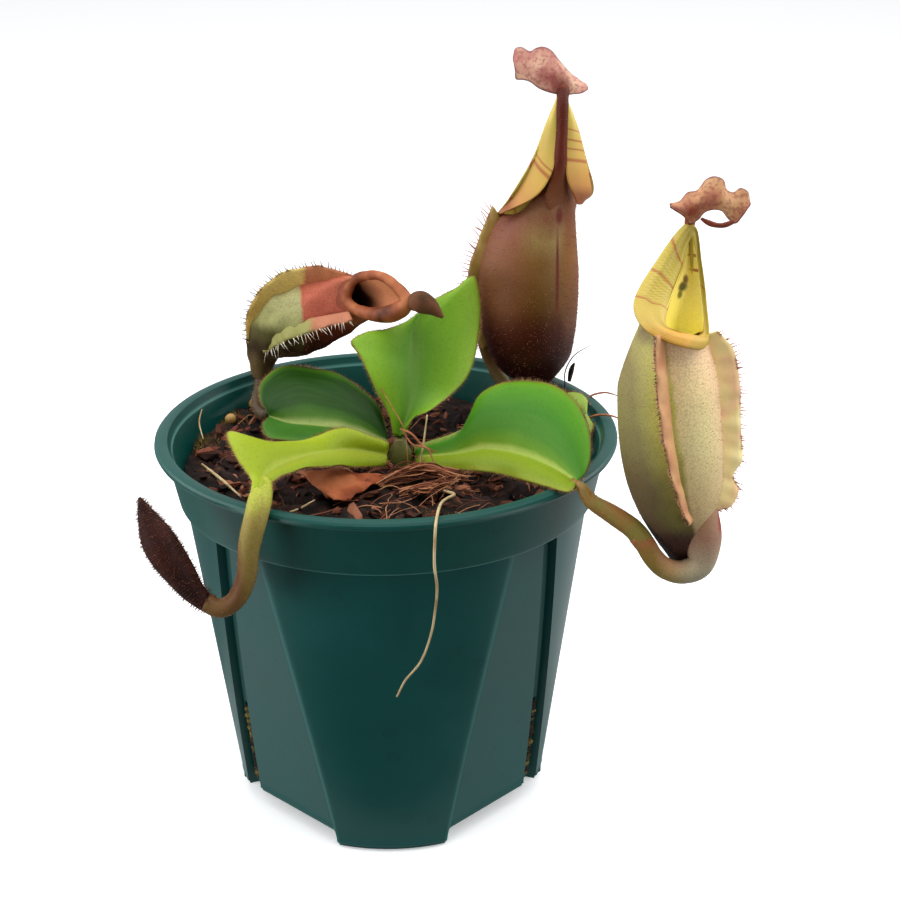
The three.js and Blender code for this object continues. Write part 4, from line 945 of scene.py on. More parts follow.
# Stem and tendrils: fleshy green-brown stalks, redder along the top, with short brown hairs.
stalks = {
    "stem": {
        "points": [(3.5, 0, 80), (3.5, 0, 88), (3.5, 0, 94), (3.5, 0, 99), (3.5, 0, 99.4)],
        "radii": [2.4, 3.0, 3.4, 3.4, 3, 1.2], "slot": "green_leaf",
    },
    "tendril_old": {
        "points": [(-31.9, 11, 102), (-34.4, 18, 100.6), (-35.4, 28, 100), (-35.2, 35, 100.2),
                   (-34.9, 39.2, 101.4)],
        "radii": [1.4, 1.5, 1.6, 1.8, 2],
    },
    "tendril_bud": {
        "points": [(-27.4, -40.4, 106.8), (-28.4, -45.4, 107), (-28.9, -49.8, 106.6),
                   (-29.9, -54.8, 103.4), (-31.9, -56.6, 96), (-33.2, -56.6, 86.7), (-36.2, -56.4, 81.2),
                   (-39.9, -56, 79.2), (-42.8, -55, 80.4)],
        "radii": [0.5, 1.9, 2.8, 2.8, 2.6, 2.4, 2.35, 2.3, 2.3],
    },
    "tendril_centre": {
        "points": [(9.3, 18.6, 129), (12.5, 23, 128.4), (19, 31, 125.5), (25.5, 39.5, 116),
                   (28.5, 41, 106.4), (33, 37, 100), (38.5, 31, 99), (40.5, 27.4, 101.7)],
        "radii": [1.3, 1.6, 1.7, 1.7, 1.8, 2],
    },
    "tendril_right": {
        "points": [(44.6, -41.6, 104.8), (46.9, -44.1, 104.2), (49, -45.5, 101.4), (54.4, -47.5, 98.3),
                   (59.3, -49.5, 95.2), (61.6, -50.6, 92.4)],
        "radii": [0.6, 1.5, 2, 2.35, 2.45, 2.55],
    },
}


def pitcherSkin(name, low, high, columns, lean=0, marks=(), fleck=("5a2a20", 0.3), inside="6a5a2a",
                roughness=0.5):
    # fleshy wall: each column of colours runs from the foot up, and they follow each other from the left
    # to the right of the plant; marks are soft spots; the whole is finely freckled
    material, tree, where = newMaterial(name, roughness, specular=0.2)
    spot = addNode(tree, "SeparateXYZ", {0: where}).node
    x, z = spot.outputs[0], spot.outputs[2]
    cloud = addNode(tree, "TexNoise", {0: where, "Scale": 75, "Detail": 4})
    drift = addNode(tree, "MapRange", {0: cloud, 1: 0.3, 2: 0.7, 3: -0.05, 4: 0.05})
    level = addNode(tree, "MapRange", {0: z, 1: low * mm, 2: high * mm})
    height = addNode(tree, "Math", {0: level, 1: drift}, operation="ADD")
    tilt = addNode(tree, "Math", {0: z, 1: lean, 2: x}, operation="MULTIPLY_ADD")
    swerve = addNode(tree, "Math", {0: drift, 1: 0.02, 2: tilt}, operation="MULTIPLY_ADD")
    colour = addNode(tree, "ValToRGB", {0: height}, stops=columns[0][1])
    coats = []
    for (at, soft), stops in columns[1:]:
        share = addNode(tree, "MapRange", {0: swerve, 1: (at - soft) * mm, 2: (at + soft) * mm})
        coats.append((share, addNode(tree, "ValToRGB", {0: height}, stops=stops)))
    coats += [(softSpot(tree, where, place, size), tone) for place, size, tone in marks]
    # freckles a quarter of a millimetre across
    specks = addNode(tree, "TexNoise", {0: where, "Scale": 2400, "Detail": 2})
    coats.append((addNode(tree, "MapRange", {0: specks, 1: 0.42, 2: 0.66, 3: 0, 4: fleck[1]}), fleck[0]))
    if inside:
        flow = addNode(tree, "SeparateXYZ", {0: addNode(tree, "TexCoord", out=2)}, 1)
        coats.append((addNode(tree, "MapRange", {0: flow, 1: 0.77, 2: 0.8}), inside))
    grain = addNode(tree, "TexNoise", {0: where, "Scale": 420, "Detail": 3})
    return finish(material, colour, coats, grain, strength=0.25)


def tendrilSkin(name, olive, red):
    # tendril: fleshy, satin, olive underneath and flushed red where the sun reaches it
    material, tree, where = newMaterial(name, roughness=0.5, specular=0.4)
    cloud = addNode(tree, "TexNoise", {0: where, "Scale": 120, "Detail": 4})
    colour = addNode(tree, "ValToRGB", {0: cloud}, stops=[(0.38, olive), (0.68, red)])
    fine = addNode(tree, "TexNoise", {0: where, "Scale": 700, "Detail": 3})
    return finish(material, colour, height=fine)


flushedSkin = pitcherSkin("flushed_tendril", 78, 109, [
    (None, [(0, "665228"), (0.16, "5e4222"), (0.4, "5a2c1c"), (1, "6a4628")]),
    ((-34, 1.2), [(0, "6a5a2c"), (0.5, "84743a"), (0.82, "8e8440"), (0.94, "a0a83c"), (1, "a4b03a")]),
], fleck=("7a4030", 0.35), inside="")
tendrilLooks = {
    "stem": tendrilSkin("green_stem", "4c5a1e", "5f4a24"),
    "tendril_old": tendrilSkin("dark_tendril", "3c3420", "4e3420"),
    "tendril_bud": flushedSkin,
    "tendril_centre": tendrilSkin("shaded_tendril", "6a6230", "7a4a30"),
    "tendril_right": tendrilSkin("olive_tendril", "7c7030", "94602e"),
}
for name, stalk in stalks.items():
    rows = tubeRows(stalk["points"], 60, stalk["radii"], 18)
    slot = stalk.get("slot", "tendril_skin")
    cover(name + "_stalk", rows, slot, tendrilLooks[name], name)
    scatter(name + "_hairs", [hair], fuzz(rows, count=700, length=0.5, width=0.045), slot, brownHair)


# Pitchers: each a hollow wall from its closed foot up to a slanted mouth, with two spiny wings.
centreMouth = [(35.4, 41, 147.9), (31.1, 32, 150.5), (35.5, 25.5, 152.5), (43, 24, 163), (46.9, 25, 180.5),
               (49.4, 26, 164), (51.3, 35, 151.5), (45, 42.5, 147.8)]
rightMouth = [(69.3, -55, 145.7), (73.8, -49, 143.8), (74, -41.5, 149.6), (72.8, -39.6, 158.2),
              (71, -39.6, 166.4), (66.4, -43, 159.2), (61.4, -50, 151.5), (63, -55.5, 147.8)]
oldMouth = [(-10.3, 23.5, 129.9), (-7.6, 20, 128.3), (-2.1, 14.5, 128.6), (2.9, 10, 130.8),
            (5.8, 8, 134.2), (1.7, 13, 138), (-2.6, 19, 138), (-8.5, 24, 134.8)]
pitchers = {
    "pitcher_centre": {
        "axis": [(40.6, 27, 102.4), (40.4, 27.6, 105.5), (39.8, 28.6, 111), (38.9, 29.6, 120),
                 (38.5, 30, 132), (39, 30, 143), (40.4, 30, 151)],
        "radii": [2, 9.4, 12, 13.1, 13.5, 13.3, 12.2, 10.3],
        "bristles": (4200, 0.75), "front": (-0.606, 0.795, 0), "mouth": centreMouth, "cavity": 0.22,
        "blend": 0.7,
        "wings": [
            {"root": [(31.6, 29.8, 149.5), (28.4, 28.4, 142), (27, 28.4, 134), (26.1, 31.3, 124),
                      (28.6, 31, 114)],
             "edge": [(28.8, 30.4, 153.4), (25.4, 29.8, 145), (22.4, 29.6, 135.5), (22.2, 30, 124),
                      (26.2, 30.4, 113)],
             "spines": 40, "length": 4.2},
            {"root": [(44.3, 42, 148), (40.6, 43, 140), (40.3, 43, 130), (41, 41.8, 118), (41.4, 38.5, 110)],
             "edge": [(45, 45, 151), (41, 47.6, 141), (40.6, 47.8, 130), (41.2, 46, 117), (41.6, 41, 108)],
             "spines": 30, "length": 2.6},
        ],
    },
    "pitcher_right": {
        "axis": [(70.8, -46.8, 84.8), (70.9, -46.6, 88), (70.6, -46.2, 94), (69.8, -46, 102.5),
                 (68.6, -46, 110.9), (67.2, -46, 122), (66.5, -46, 134), (66.8, -46, 141.8)],
        "radii": [1.5, 6, 9.4, 11.3, 12.1, 12.2, 12, 11.6, 10.6],
        "bristles": (3200, 0.36), "front": (0.52, -0.85, 0), "mouth": rightMouth, "cavity": 0.42,
        "blend": 0.8,
        "wings": [
            {"root": [(63.8, -55.3, 146), (64.8, -57.6, 135.9), (66.4, -57.9, 123.5), (68.9, -56.8, 112.1),
                      (72.6, -54, 100)],
             "edge": [(61.1, -60, 148), (61.5, -62, 137.5), (63.2, -62.5, 125.3), (66.5, -61, 111.8),
                      (70.8, -58, 100)],
             "spines": 64, "length": 1.5},
            {"root": [(73.6, -47.4, 143), (75.4, -48, 134), (76, -48.3, 126), (76.6, -48.5, 115),
                      (77, -48.8, 101.5)],
             "edge": [(76.8, -49.4, 145), (80.6, -49.2, 141), (83, -48.8, 131), (83.6, -48.5, 122),
                      (84.4, -48.5, 112.5), (82.6, -48.5, 108.6), (84, -48.5, 105), (82.4, -48.5, 100.6),
                      (79.4, -48.6, 99.2)],
             "spines": 50, "length": 2.3},
        ],
    },
    "pitcher_old": {
        "axis": [(-34.8, 39.9, 102.4), (-35, 40, 106.4), (-33.2, 39.2, 112.5), (-27.5, 36.5, 118.5),
                 (-20.6, 33, 122.5), (-14.4, 30, 126), (-9.5, 27, 130)],
        "radii": [2.4, 4.4, 7.8, 9.3, 9.5, 8.6, 7],
        "bristles": (1200, 0.5), "front": (0, -1, 0), "mouth": oldMouth, "cavity": 0.4, "blend": 0.72,
        "crumple": 1.0, "slot": "withered_skin",
        "wings": [
            {"root": [(-35, 37.5, 112.5), (-33.2, 36, 119.3), (-30.2, 34.5, 125.2), (-25.9, 32.5, 129.2),
                      (-21.6, 30.8, 131.6), (-15, 28, 133.6), (-9, 26, 135)],
             "edge": [(-38, 36, 113.5), (-38.4, 34.8, 119.5), (-36.4, 32.8, 126.2), (-32, 31, 132.2),
                      (-27, 29, 136), (-18, 27, 138.2), (-11.5, 26.2, 136.9), (-8.6, 25.9, 135.6)],
             "spines": 44, "length": 2.8},
            {"root": [(-33.6, 34.5, 114.4), (-28.4, 27.4, 120.4), (-23, 24.4, 123.8), (-16.3, 21.8, 126),
                      (-9.6, 20.4, 127.6)],
             "edge": [(-33.2, 31, 112.4), (-26.8, 23.6, 118.4), (-20.2, 20.4, 121.8), (-14.2, 18.2, 124.4),
                      (-8.4, 17.4, 126)],
             "spines": 34, "length": 2.8, "needle": 0.14},
        ],
    },
}
cupShape = {"sides": 64, "outer": 70, "inner": 26, "wall": 0.9}


def cupRows(plan):
    # outer wall from the foot up to the rim of the mouth, and inner wall back down to the cavity's foot
    sides, steps = cupShape["sides"], cupShape["outer"]
    crumple = plan.get("crumple", 0)
    rim = loop(plan["mouth"], sides)
    rimCentre = middleOf(rim)
    shares = even(steps)
    centres = line(plan["axis"], shares)
    ahead = Vector(plan["front"])

    def wall(share, inset):
        at = share * steps
        i = min(int(at), steps - 1)
        centre = centres[i].lerp(centres[i + 1], at - i)
        heading = (centres[min(i + 2, steps)] - centres[max(i - 1, 0)]).normalized()
        forward = (ahead - heading * ahead.dot(heading)).normalized()
        sideways = heading.cross(forward)
        radius = along(plan["radii"], share) - inset
        blend = easeIn(share, plan["blend"], 1)
        row = []
        for edge, t in zip(rim, turnsOf(sides)):
            out = forward * math.cos(t) + sideways * math.sin(t)
            point = (centre + out * radius).lerp(edge + (rimCentre - edge).normalized() * inset, blend)
            row.append(point + out * crumple * noise.noise(point * 0.25) * (1 - blend))
        return row

    outer = [wall(share, 0) for share in shares]
    inner = [wall(1 - (1 - plan["cavity"]) * s, cupShape["wall"]) for s in even(cupShape["inner"])]
    return [[centres[0]] * sides] + outer + inner + [[middleOf(inner[-1])] * sides]


# near-black towards the foot in every column: painted shadow down among the leaves where the pitcher stands
centreSkin = pitcherSkin("speckled_centre_pitcher", 104, 152, [
    (None, [(0, "150302"), (0.2, "240704"), (0.36, "4a1e0e"), (0.52, "704426"), (0.78, "7c5032"),
            (0.9, "7e4c38"), (1, "7c4838")]),
    ((36.5, 3), [(0, "150302"), (0.2, "200502"), (0.34, "3c1606"), (0.46, "4c2c0a"), (0.6, "68481a"),
                 (0.75, "745428"), (0.88, "8c7444"), (1, "744232")]),
    ((46.5, 1), [(0, "1a0504"), (0.2, "30120a"), (0.34, "5c3a26"), (0.5, "664222"), (0.75, "7e5226"),
                 (1, "744426")]),
    ((51, 1), [(0, "240805"), (0.4, "683422"), (1, "8e5034")]),
], marks=[((45.9, 18.6, 153), (1.3, 6, 3), "5e1e08"), ((45.4, 17, 138), (0.6, 6, 17), "5c2009")],
                         fleck=("4a1c12", 0.26))
# the first column, along the left-hand edge, is darker than those to its right: painted shade on the side
# turned from the light
rightSkin = pitcherSkin("speckled_right_pitcher", 84, 146, [
    (None, [(0, "7a5f38"), (0.15, "4a3a2c"), (0.4, "655a38"), (0.7, "8a8450"), (0.93, "8a7c54"),
            (1, "7a6a50")]),
    ((85.4, 2.6), [(0, "80683a"), (0.06, "5a4634"), (0.14, "3a2c24"), (0.28, "6a6630"), (0.5, "a09c4c"),
                   (0.75, "cac662"), (0.95, "bcb668"), (1, "7e6e50")]),
    ((91.3, 0.5), [(0, "a58f6c"), (0.15, "9c8260"), (0.35, "c6b07e"), (0.6, "dccd92"), (0.8, "eed49a"),
                   (1, "f0cca4")]),
    ((101, 3), [(0, "a3a590"), (0.12, "b4aa90"), (0.3, "ccb090"), (1, "f0c8a4")]),
], lean=0.19, marks=[((68.6, -50, 90), (7.6, 14, 7.4), "33221c"), ((79.4, -50, 98), (0.8, 5, 4), "8a3a34")],
                        fleck=("6a4440", 0.3), inside="49390b")
crookSkin = pitcherSkin("speckled_crook", 80, 108, [
    (None, [(0, "7c7030"), (0.4, "84682e"), (0.5, "9a6038"), (1, "94602e")]),
    ((65.4, 2), [(0, "8a8044"), (0.2, "9a8450"), (0.32, "b07c5c"), (1, "a87858")]),
    ((70.5, 2.5), [(0, "9a9c80"), (0.22, "a0967a"), (0.5, "946e58"), (0.7, "9a7654"), (1, "aa8e66")]),
    ((77.5, 1.5), [(0, "a8ac94"), (0.3, "a4947c"), (0.5, "94705c"), (1, "a08060")]),
], marks=[((79.6, -50, 98), (0.9, 5, 4), "8a3a34")], fleck=("6a4440", 0.3), inside="")
# dark low down in its columns, under the lower wing: painted shadow
oldSkin = pitcherSkin("withered_pitcher", 104, 140, [
    (None, [(0, "5f5230"), (0.25, "2a220c"), (0.42, "4a4a22"), (0.52, "8d8f58"), (0.75, "a8a674"),
            (1, "b0a468")]),
    ((-22.4, 0.5), [(0, "3a1c0e"), (0.35, "3c1c10"), (0.5, "7a3424"), (0.62, "ab5642"), (0.85, "b0604a"),
                    (1, "a8583c")]),
    ((-9, 2), [(0, "4a2a18"), (0.5, "9a5436"), (0.7, "b8744e"), (1, "c08058")]),
], fleck=("5a2416", 0.3), inside="4a2c1c", roughness=0.6)
pitcherLooks = {"pitcher_centre": centreSkin, "pitcher_right": rightSkin, "pitcher_old": oldSkin}
halfWing = pitcherSkin("wing_half_withered", 104, 140, [
    (None, [(0, "8e6c34"), (0.45, "caa658"), (1, "e6cc7a")]),
    ((-21, 0.5), [(0, "8a4a2c"), (1, "c4805a")]),
], fleck=("8a4a28", 0.35), inside="")
halfLedge = pitcherSkin("ledge_half_withered", 104, 140, [
    (None, [(0, "6a6436"), (0.5, "888a4c"), (1, "989a58")]),
    ((-20, 1), [(0, "9a563c"), (1, "bc8064")]),
], fleck=("8a5a38", 0.3), inside="")
wingLooks = {
    "pitcher_centre": [mottled("wing_olive", ["8a6a34", "b09a50"]),
                       mottled("wing_red_brown", ["6e3a24", "8a5238"])],
    "pitcher_right": [mottled("wing_tan", ["b8805a", "cda070"], scale=200),
                      mottled("wing_peach", ["f8c89c", "fce4a0", "fcecae"], scale=130)],
    "pitcher_old": [halfWing, halfLedge],
}
pinkSpine = mottled("pink_spine", ["a0504c", "c98a80"], scale=300)
spineLooks = {
    "pitcher_centre": [pinkSpine, mottled("brown_spine", ["5a2818", "8a5040"], scale=300)],
    "pitcher_right": [mottled("dark_spine", ["3a1c18", "7a4038"], scale=300), pinkSpine],
    "pitcher_old": [mottled("grey_spine", ["4a3c34", "8a7468"], scale=300),
                    mottled("bleached_spine", ["c8bca4", "f0eadc"], scale=300)],
}
bristle = mottled("red_brown_bristle", ["5a2a20", "8a5040", "b07c64"],
                  scale=400, roughness=0.6, relief=0.1, byPiece=0.9)
for name, plan in pitchers.items():
    rows = cupRows(plan)
    slot = plan.get("slot", "pitcher_skin")
    cover(name + "_wall", rows, slot, pitcherLooks[name], name)
    for k, blade in enumerate(plan["wings"]):
        wing = f"{name}_wing_{k + 1}"
        root, edge = blade["root"], blade["edge"]
        cover(wing, bladeRows([root, edge], thick=0.8, across=6, wave=0.3, waves=5), slot, wingLooks[name][k])
        spines = fringe(edge, root, blade["spines"], blade["length"] * 1.15, blade.get("needle", 0.19))
        scatter(f"{name}_spines_{k + 1}", [hair], spines, slot, spineLooks[name][k])
        margin = fringe(edge, root, count=260, length=0.5, width=0.05, mess=0.6)
        scatter(wing + "_fuzz", [hair], margin, slot, brownHair)
    bristles = fuzz(rows[:cupShape["outer"]], *plan["bristles"], 0.045)
    scatter(name + "_bristles", [hair], bristles, slot, bristle)
print("pitchers are in")

crook = {
    "points": [(60.2, -49.9, 94), (61.9, -50.8, 92), (63.9, -51.6, 88.8), (66.6, -52, 86.2),
               (70.9, -51.8, 84.9), (75, -51, 86.4), (76, -49.8, 92.2), (74.6, -48.6, 99), (71, -47, 107)],
    "radii": [2.5, 2.5, 2.6, 2.9, 3.5, 4.4, 4.7, 5.4, 6.6],
}
cover("pitcher_right_crook", tubeRows(crook["points"], 60, crook["radii"], 36), "pitcher_skin", crookSkin)


def rolledRim(mouth, radii, sides, steps):
    # withered rim of the old pitcher: the collar rolled in to a tube round the mouth
    centres = loop(mouth, steps)
    rows = []
    for i, centre in enumerate(centres):
        heading = (centres[(i + 1) % steps] - centres[i - 1]).normalized()
        out = (centre - middleOf(centres)).normalized()
        out = (out - heading * out.dot(heading)).normalized()
        other = heading.cross(out)
        radius = along(radii + radii[:1], i / steps) * (1 + 0.12 * noise.noise(centre * 0.4))
        rows.append([centre + (out * math.cos(t) + other * math.sin(t)) * radius for t in turnsOf(sides)])
    return rows + rows[:1]


cover("pitcher_old_rim", rolledRim(oldMouth, [1.5, 1.5, 2, 2.4, 1.8, 1.3, 1.3, 1.4], 20, 128),
      "withered_skin",
      mottled("withered_rim", ["4e2412", "8a4828", "b06c42"], scale=110, roughness=0.55, relief=0.4))

# Back of the centre pitcher's mouth: the dark column that carries the lid, between two rolled-back flares.
column = {
    "points": [(46.5, 25.4, 185), (46.3, 23, 181.6), (46.1, 21.2, 175.6), (45.8, 20.2, 169.5),
               (45.5, 20.9, 164), (45.3, 21.2, 159.5), (45, 21.3, 156), (44.8, 21.5, 153)],
    "radii": [1.5, 1.6, 1.5, 1.6, 1.9, 2.6, 3, 1.4],
}
flares = {
    "left": {
        "guides": [[(45, 24, 183.4), (42.1, 22.2, 177.2), (39.4, 22.4, 169.3), (36.7, 23, 163.5),
                    (33.5, 24.6, 156.8), (30.3, 27, 152.2)],
                   [(45.1, 23.6, 183.4), (43.6, 21.4, 177.9), (42, 20.8, 170.2), (40, 20.6, 164.3),
                    (36.8, 21, 158), (30.4, 25.4, 152.5)],
                   [(45.2, 23.4, 183.3), (44.9, 21.6, 178.3), (44.6, 20, 170.8), (43.6, 19, 165.1),
                    (40, 18.8, 159.3), (30.5, 24, 152.7)]],
        "lines": [(0.575, 0.012), (0.53, 0.006)],
    },
    "right": {
        "guides": [[(47.1, 24, 183.2), (47.5, 22, 178.2), (47.1, 20.6, 170.7), (47.6, 19.8, 163.2),
                    (49.2, 20.2, 158.9), (50.6, 21, 155.9)],
                   [(47.2, 24.1, 183.3), (49, 22.2, 177), (49.8, 21.6, 169.8), (50.7, 21.4, 163),
                    (51.8, 21.8, 158), (51.6, 22.6, 155.6)],
                   [(47.3, 24.4, 183.3), (50.4, 23.4, 175.8), (52.3, 23.6, 168.9), (53.6, 24, 162.9),
                    (54.3, 24.6, 157.7), (52.6, 25, 155.7)]],
        "lines": [(0.37, 0.006), (0.46, 0.008), (0.54, 0.007), (0.64, 0.014)],
    },
}


def flareSkin(name, lines, ground=((0.3, "c8b258"), (0.7, "c8a04c"), (0.9, "b8803c"), (1, "8e5228"))):
    # waxy collar tissue: yellow, orange towards its hem, crossed by fine ribs and a few red bands
    material, tree, where = newMaterial(name, roughness=0.4, specular=0.35)
    flow = addNode(tree, "SeparateXYZ", {0: addNode(tree, "TexCoord", out=2)}).node
    cloud = addNode(tree, "TexNoise", {0: where, "Scale": 60, "Detail": 4})
    slant = addNode(tree, "Math", {0: flow.outputs[0], 1: 0.12, 2: flow.outputs[1]}, operation="MULTIPLY_ADD")
    level = addNode(tree, "Math", {0: cloud, 1: 0.04, 2: slant}, operation="MULTIPLY_ADD")
    colour = addNode(tree, "ValToRGB", {0: level}, stops=ground)
    marks = [(0, 0.0)]
    band = ((-1.6, 0.0), (-0.5, 0.75), (0.5, 0.75), (1.6, 0.0))
    for at, half in sorted(lines):
        # each band is full over its own width and fades beyond it
        marks += [(at + 0.04 + half * side, full) for side, full in band]
    bands = addNode(tree, "ValToRGB", {0: level}, stops=marks)
    waves = addNode(tree, "Math", {0: slant, 1: 560}, operation="MULTIPLY")
    ribs = addNode(tree, "Math", {0: waves}, operation="SINE")
    return finish(material, colour, [(bands, "a3482c")], ribs, strength=0.1)


columnSkin = mottled("neck_red_brown", ["481606", "642410", "7a361c"], scale=260)
rows = tubeRows(column["points"], 50, column["radii"], 20)
for row in rows:
    # its foot spreads and lies flat on the wall
    centre = middleOf(row)
    flat = easeIn(centre.z, 170, 157)
    for p in row:
        p.y = centre.y + (p.y - centre.y) * (1 - 0.84 * flat) + 0.5 * (p.x - centre.x) * flat
darkening = [(0, "744426"), (0.25, "6a3a1e"), (0.45, "5c200f"), (1, "481606")]
risen = pitcherSkin("neck_darkening_upwards", 154, 184, [(None, darkening)], inside="")
cover("pitcher_centre_column", rows, "pitcher_skin", risen)
scatter("pitcher_centre_column_hairs", [hair], fuzz(rows, count=300, length=0.4, width=0.05),
        "pitcher_skin", bristle)
for key, flare in flares.items():
    look = flareSkin("waxy_flare_" + key, flare["lines"])
    cover("peristome_centre_flare_" + key, bladeRows(flare["guides"], thick=0.6, steps=70, across=14),
          "peristome", look)

# Throat of the right pitcher: two broad inner faces of the collar that fold together towards the back.
throat = {
    "guides": [[(70.9, -40.6, 166), (69.2, -43, 159), (65.7, -48.2, 152.2), (64, -52.8, 149.2),
                (64.8, -55, 146.6)],
               [(71, -40.2, 165.6), (69.6, -41.2, 158.6), (67.6, -44.2, 151.2), (66, -48.2, 146.4),
                (66, -51.6, 143)],
               [(71, -40, 165.4), (70.8, -40.2, 158), (70, -41.6, 151), (69, -44.4, 145),
                (68.4, -47.4, 140.6)],
               [(71.2, -40.3, 165.8), (72, -41, 159), (72.6, -42.6, 151.6), (72.8, -45, 147.4),
                (72.4, -48.6, 144)],
               [(71.3, -40.8, 166), (72.7, -41.4, 159.2), (73.7, -43.2, 151.8), (74, -46, 147.8),
                (73.4, -50.4, 145.6)]],
    "marks": [((69.6, -43, 153.4), (1.5, 6, 1.5), "5a5420"), ((70.3, -43, 154.9), (0.9, 6, 1.5), "7a5a24"),
              ((68.9, -44, 151.8), (0.9, 6, 1.2), "7a7228"), ((72.2, -42, 160.6), (2.2, 5, 0.5), "b4743c"),
              ((72.6, -42, 157.2), (2, 5, 0.45), "b4743c")],
}
throatSkin = pitcherSkin("waxy_throat", 142, 168,
                         [(None, [(0, "a8a034"), (0.12, "e0d052"), (0.4, "f4e070"), (1, "f0d868")])],
                         marks=throat["marks"], fleck=("a06a34", 0.12), inside="", roughness=0.35)
cover("peristome_right_throat", bladeRows(throat["guides"], thick=0.5, steps=50, across=24), "peristome",
      throatSkin)


# Peristomes: glossy, finely ribbed collars, yellow with red bands.
collars = {
    "peristome_centre": {
        "mouth": centreMouth,
        "outer": [(34, 42.9, 147.4), (30.1, 32.6, 150.1), (32.8, 24.5, 156.9), (37.8, 22, 166.3),
                  (46.6, 25, 182.7), (53.5, 28.5, 165), (55.4, 33.5, 155.8), (47.5, 45.5, 148.6)],
        "inner": [(36.6, 39.4, 146.8), (33, 33, 149.2), (37, 27.5, 151), (44.2, 26, 160.5),
                  (46.9, 26.3, 177), (48.6, 27.5, 161.5), (49.6, 35, 150), (44.4, 40.5, 146.6)],
        "facing": (-0.4, 0.6, 0.7), "ribs": 150, "rib": 0.08,
        "lines": [(0.15, 0.006), (0.3, 0.006), (0.42, 0.008), (0.7, 0.008)],
        "ground": [(0, "a86a3a"), (0.3, "a8923c"), (0.5, "c8b258"), (0.8, "c89a50"), (1, "a86a3a")],
    },
    "peristome_right": {
        "mouth": rightMouth,
        "outer": [(68.8, -59, 144.7), (74.4, -52, 142.8), (75.3, -41.5, 149.9), (73.9, -39.8, 158.6),
                  (71, -39.6, 168), (62.9, -44, 160), (57.4, -50, 152), (59.9, -57.5, 148.1)],
        "inner": [(69.1, -56, 146), (73, -49, 144.8), (72.1, -42.6, 150.1), (71.5, -41, 158.8),
                  (70.9, -40.8, 164), (69.4, -42.6, 158.1), (65.8, -48.5, 151.4), (64.6, -55, 148.2)],
        "facing": (0.3, -0.7, 0.6), "ribs": 120, "rib": 0.03,
        "lines": [(0.3, 0.003), (0.6, 0.004), (0.68, 0.003), (0.76, 0.003)],
        "ground": [(0, "cf9c44"), (0.12, "b8963a"), (0.25, "b09c3c"), (0.5, "b4a040"), (0.7, "c0ac4c"),
                   (0.9, "bca04a"), (1, "cf9c44")],
    },
}


def collarRows(plan, thick=0.8):
    count = plan["ribs"] * 4
    rim, outside, inside = (loop(plan[key], count) for key in ("mouth", "outer", "inner"))
    opening = Vector(plan["facing"])
    rows = []
    for k in range(count):
        heading = (rim[(k + 6) % count] - rim[k - 6]).normalized()
        chord = outside[k] - inside[k]
        up = heading.cross(chord).normalized()
        if up.dot(opening) < 0:
            up.negate()
        crest = rim[k] + up * (0.3 + thick)
        halfIn = inside[k].lerp(crest, 0.5) + up * 0.5
        halfOut = crest.lerp(outside[k], 0.5) + up * 0.8
        guide = [inside[k], halfIn, crest, halfOut, outside[k]]
        rib = plan["rib"] * math.cos(math.pi * k / 2)
        upper, under = [], []
        for j in range(15):
            share = j / 14
            point = splinePoint(guide, share * 4)
            body = thick * math.sin(math.pi * (0.12 + 0.76 * share)) ** 0.5
            upper.append(point + up * rib)
            under.insert(0, point - up * (body - rib))
        rows.append(upper + under)
    return rows + [rows[0]]


for name, plan in collars.items():
    look = flareSkin("waxy_" + name, plan["lines"], plan["ground"])
    cover(name + "_rim", collarRows(plan), "peristome", look, name)


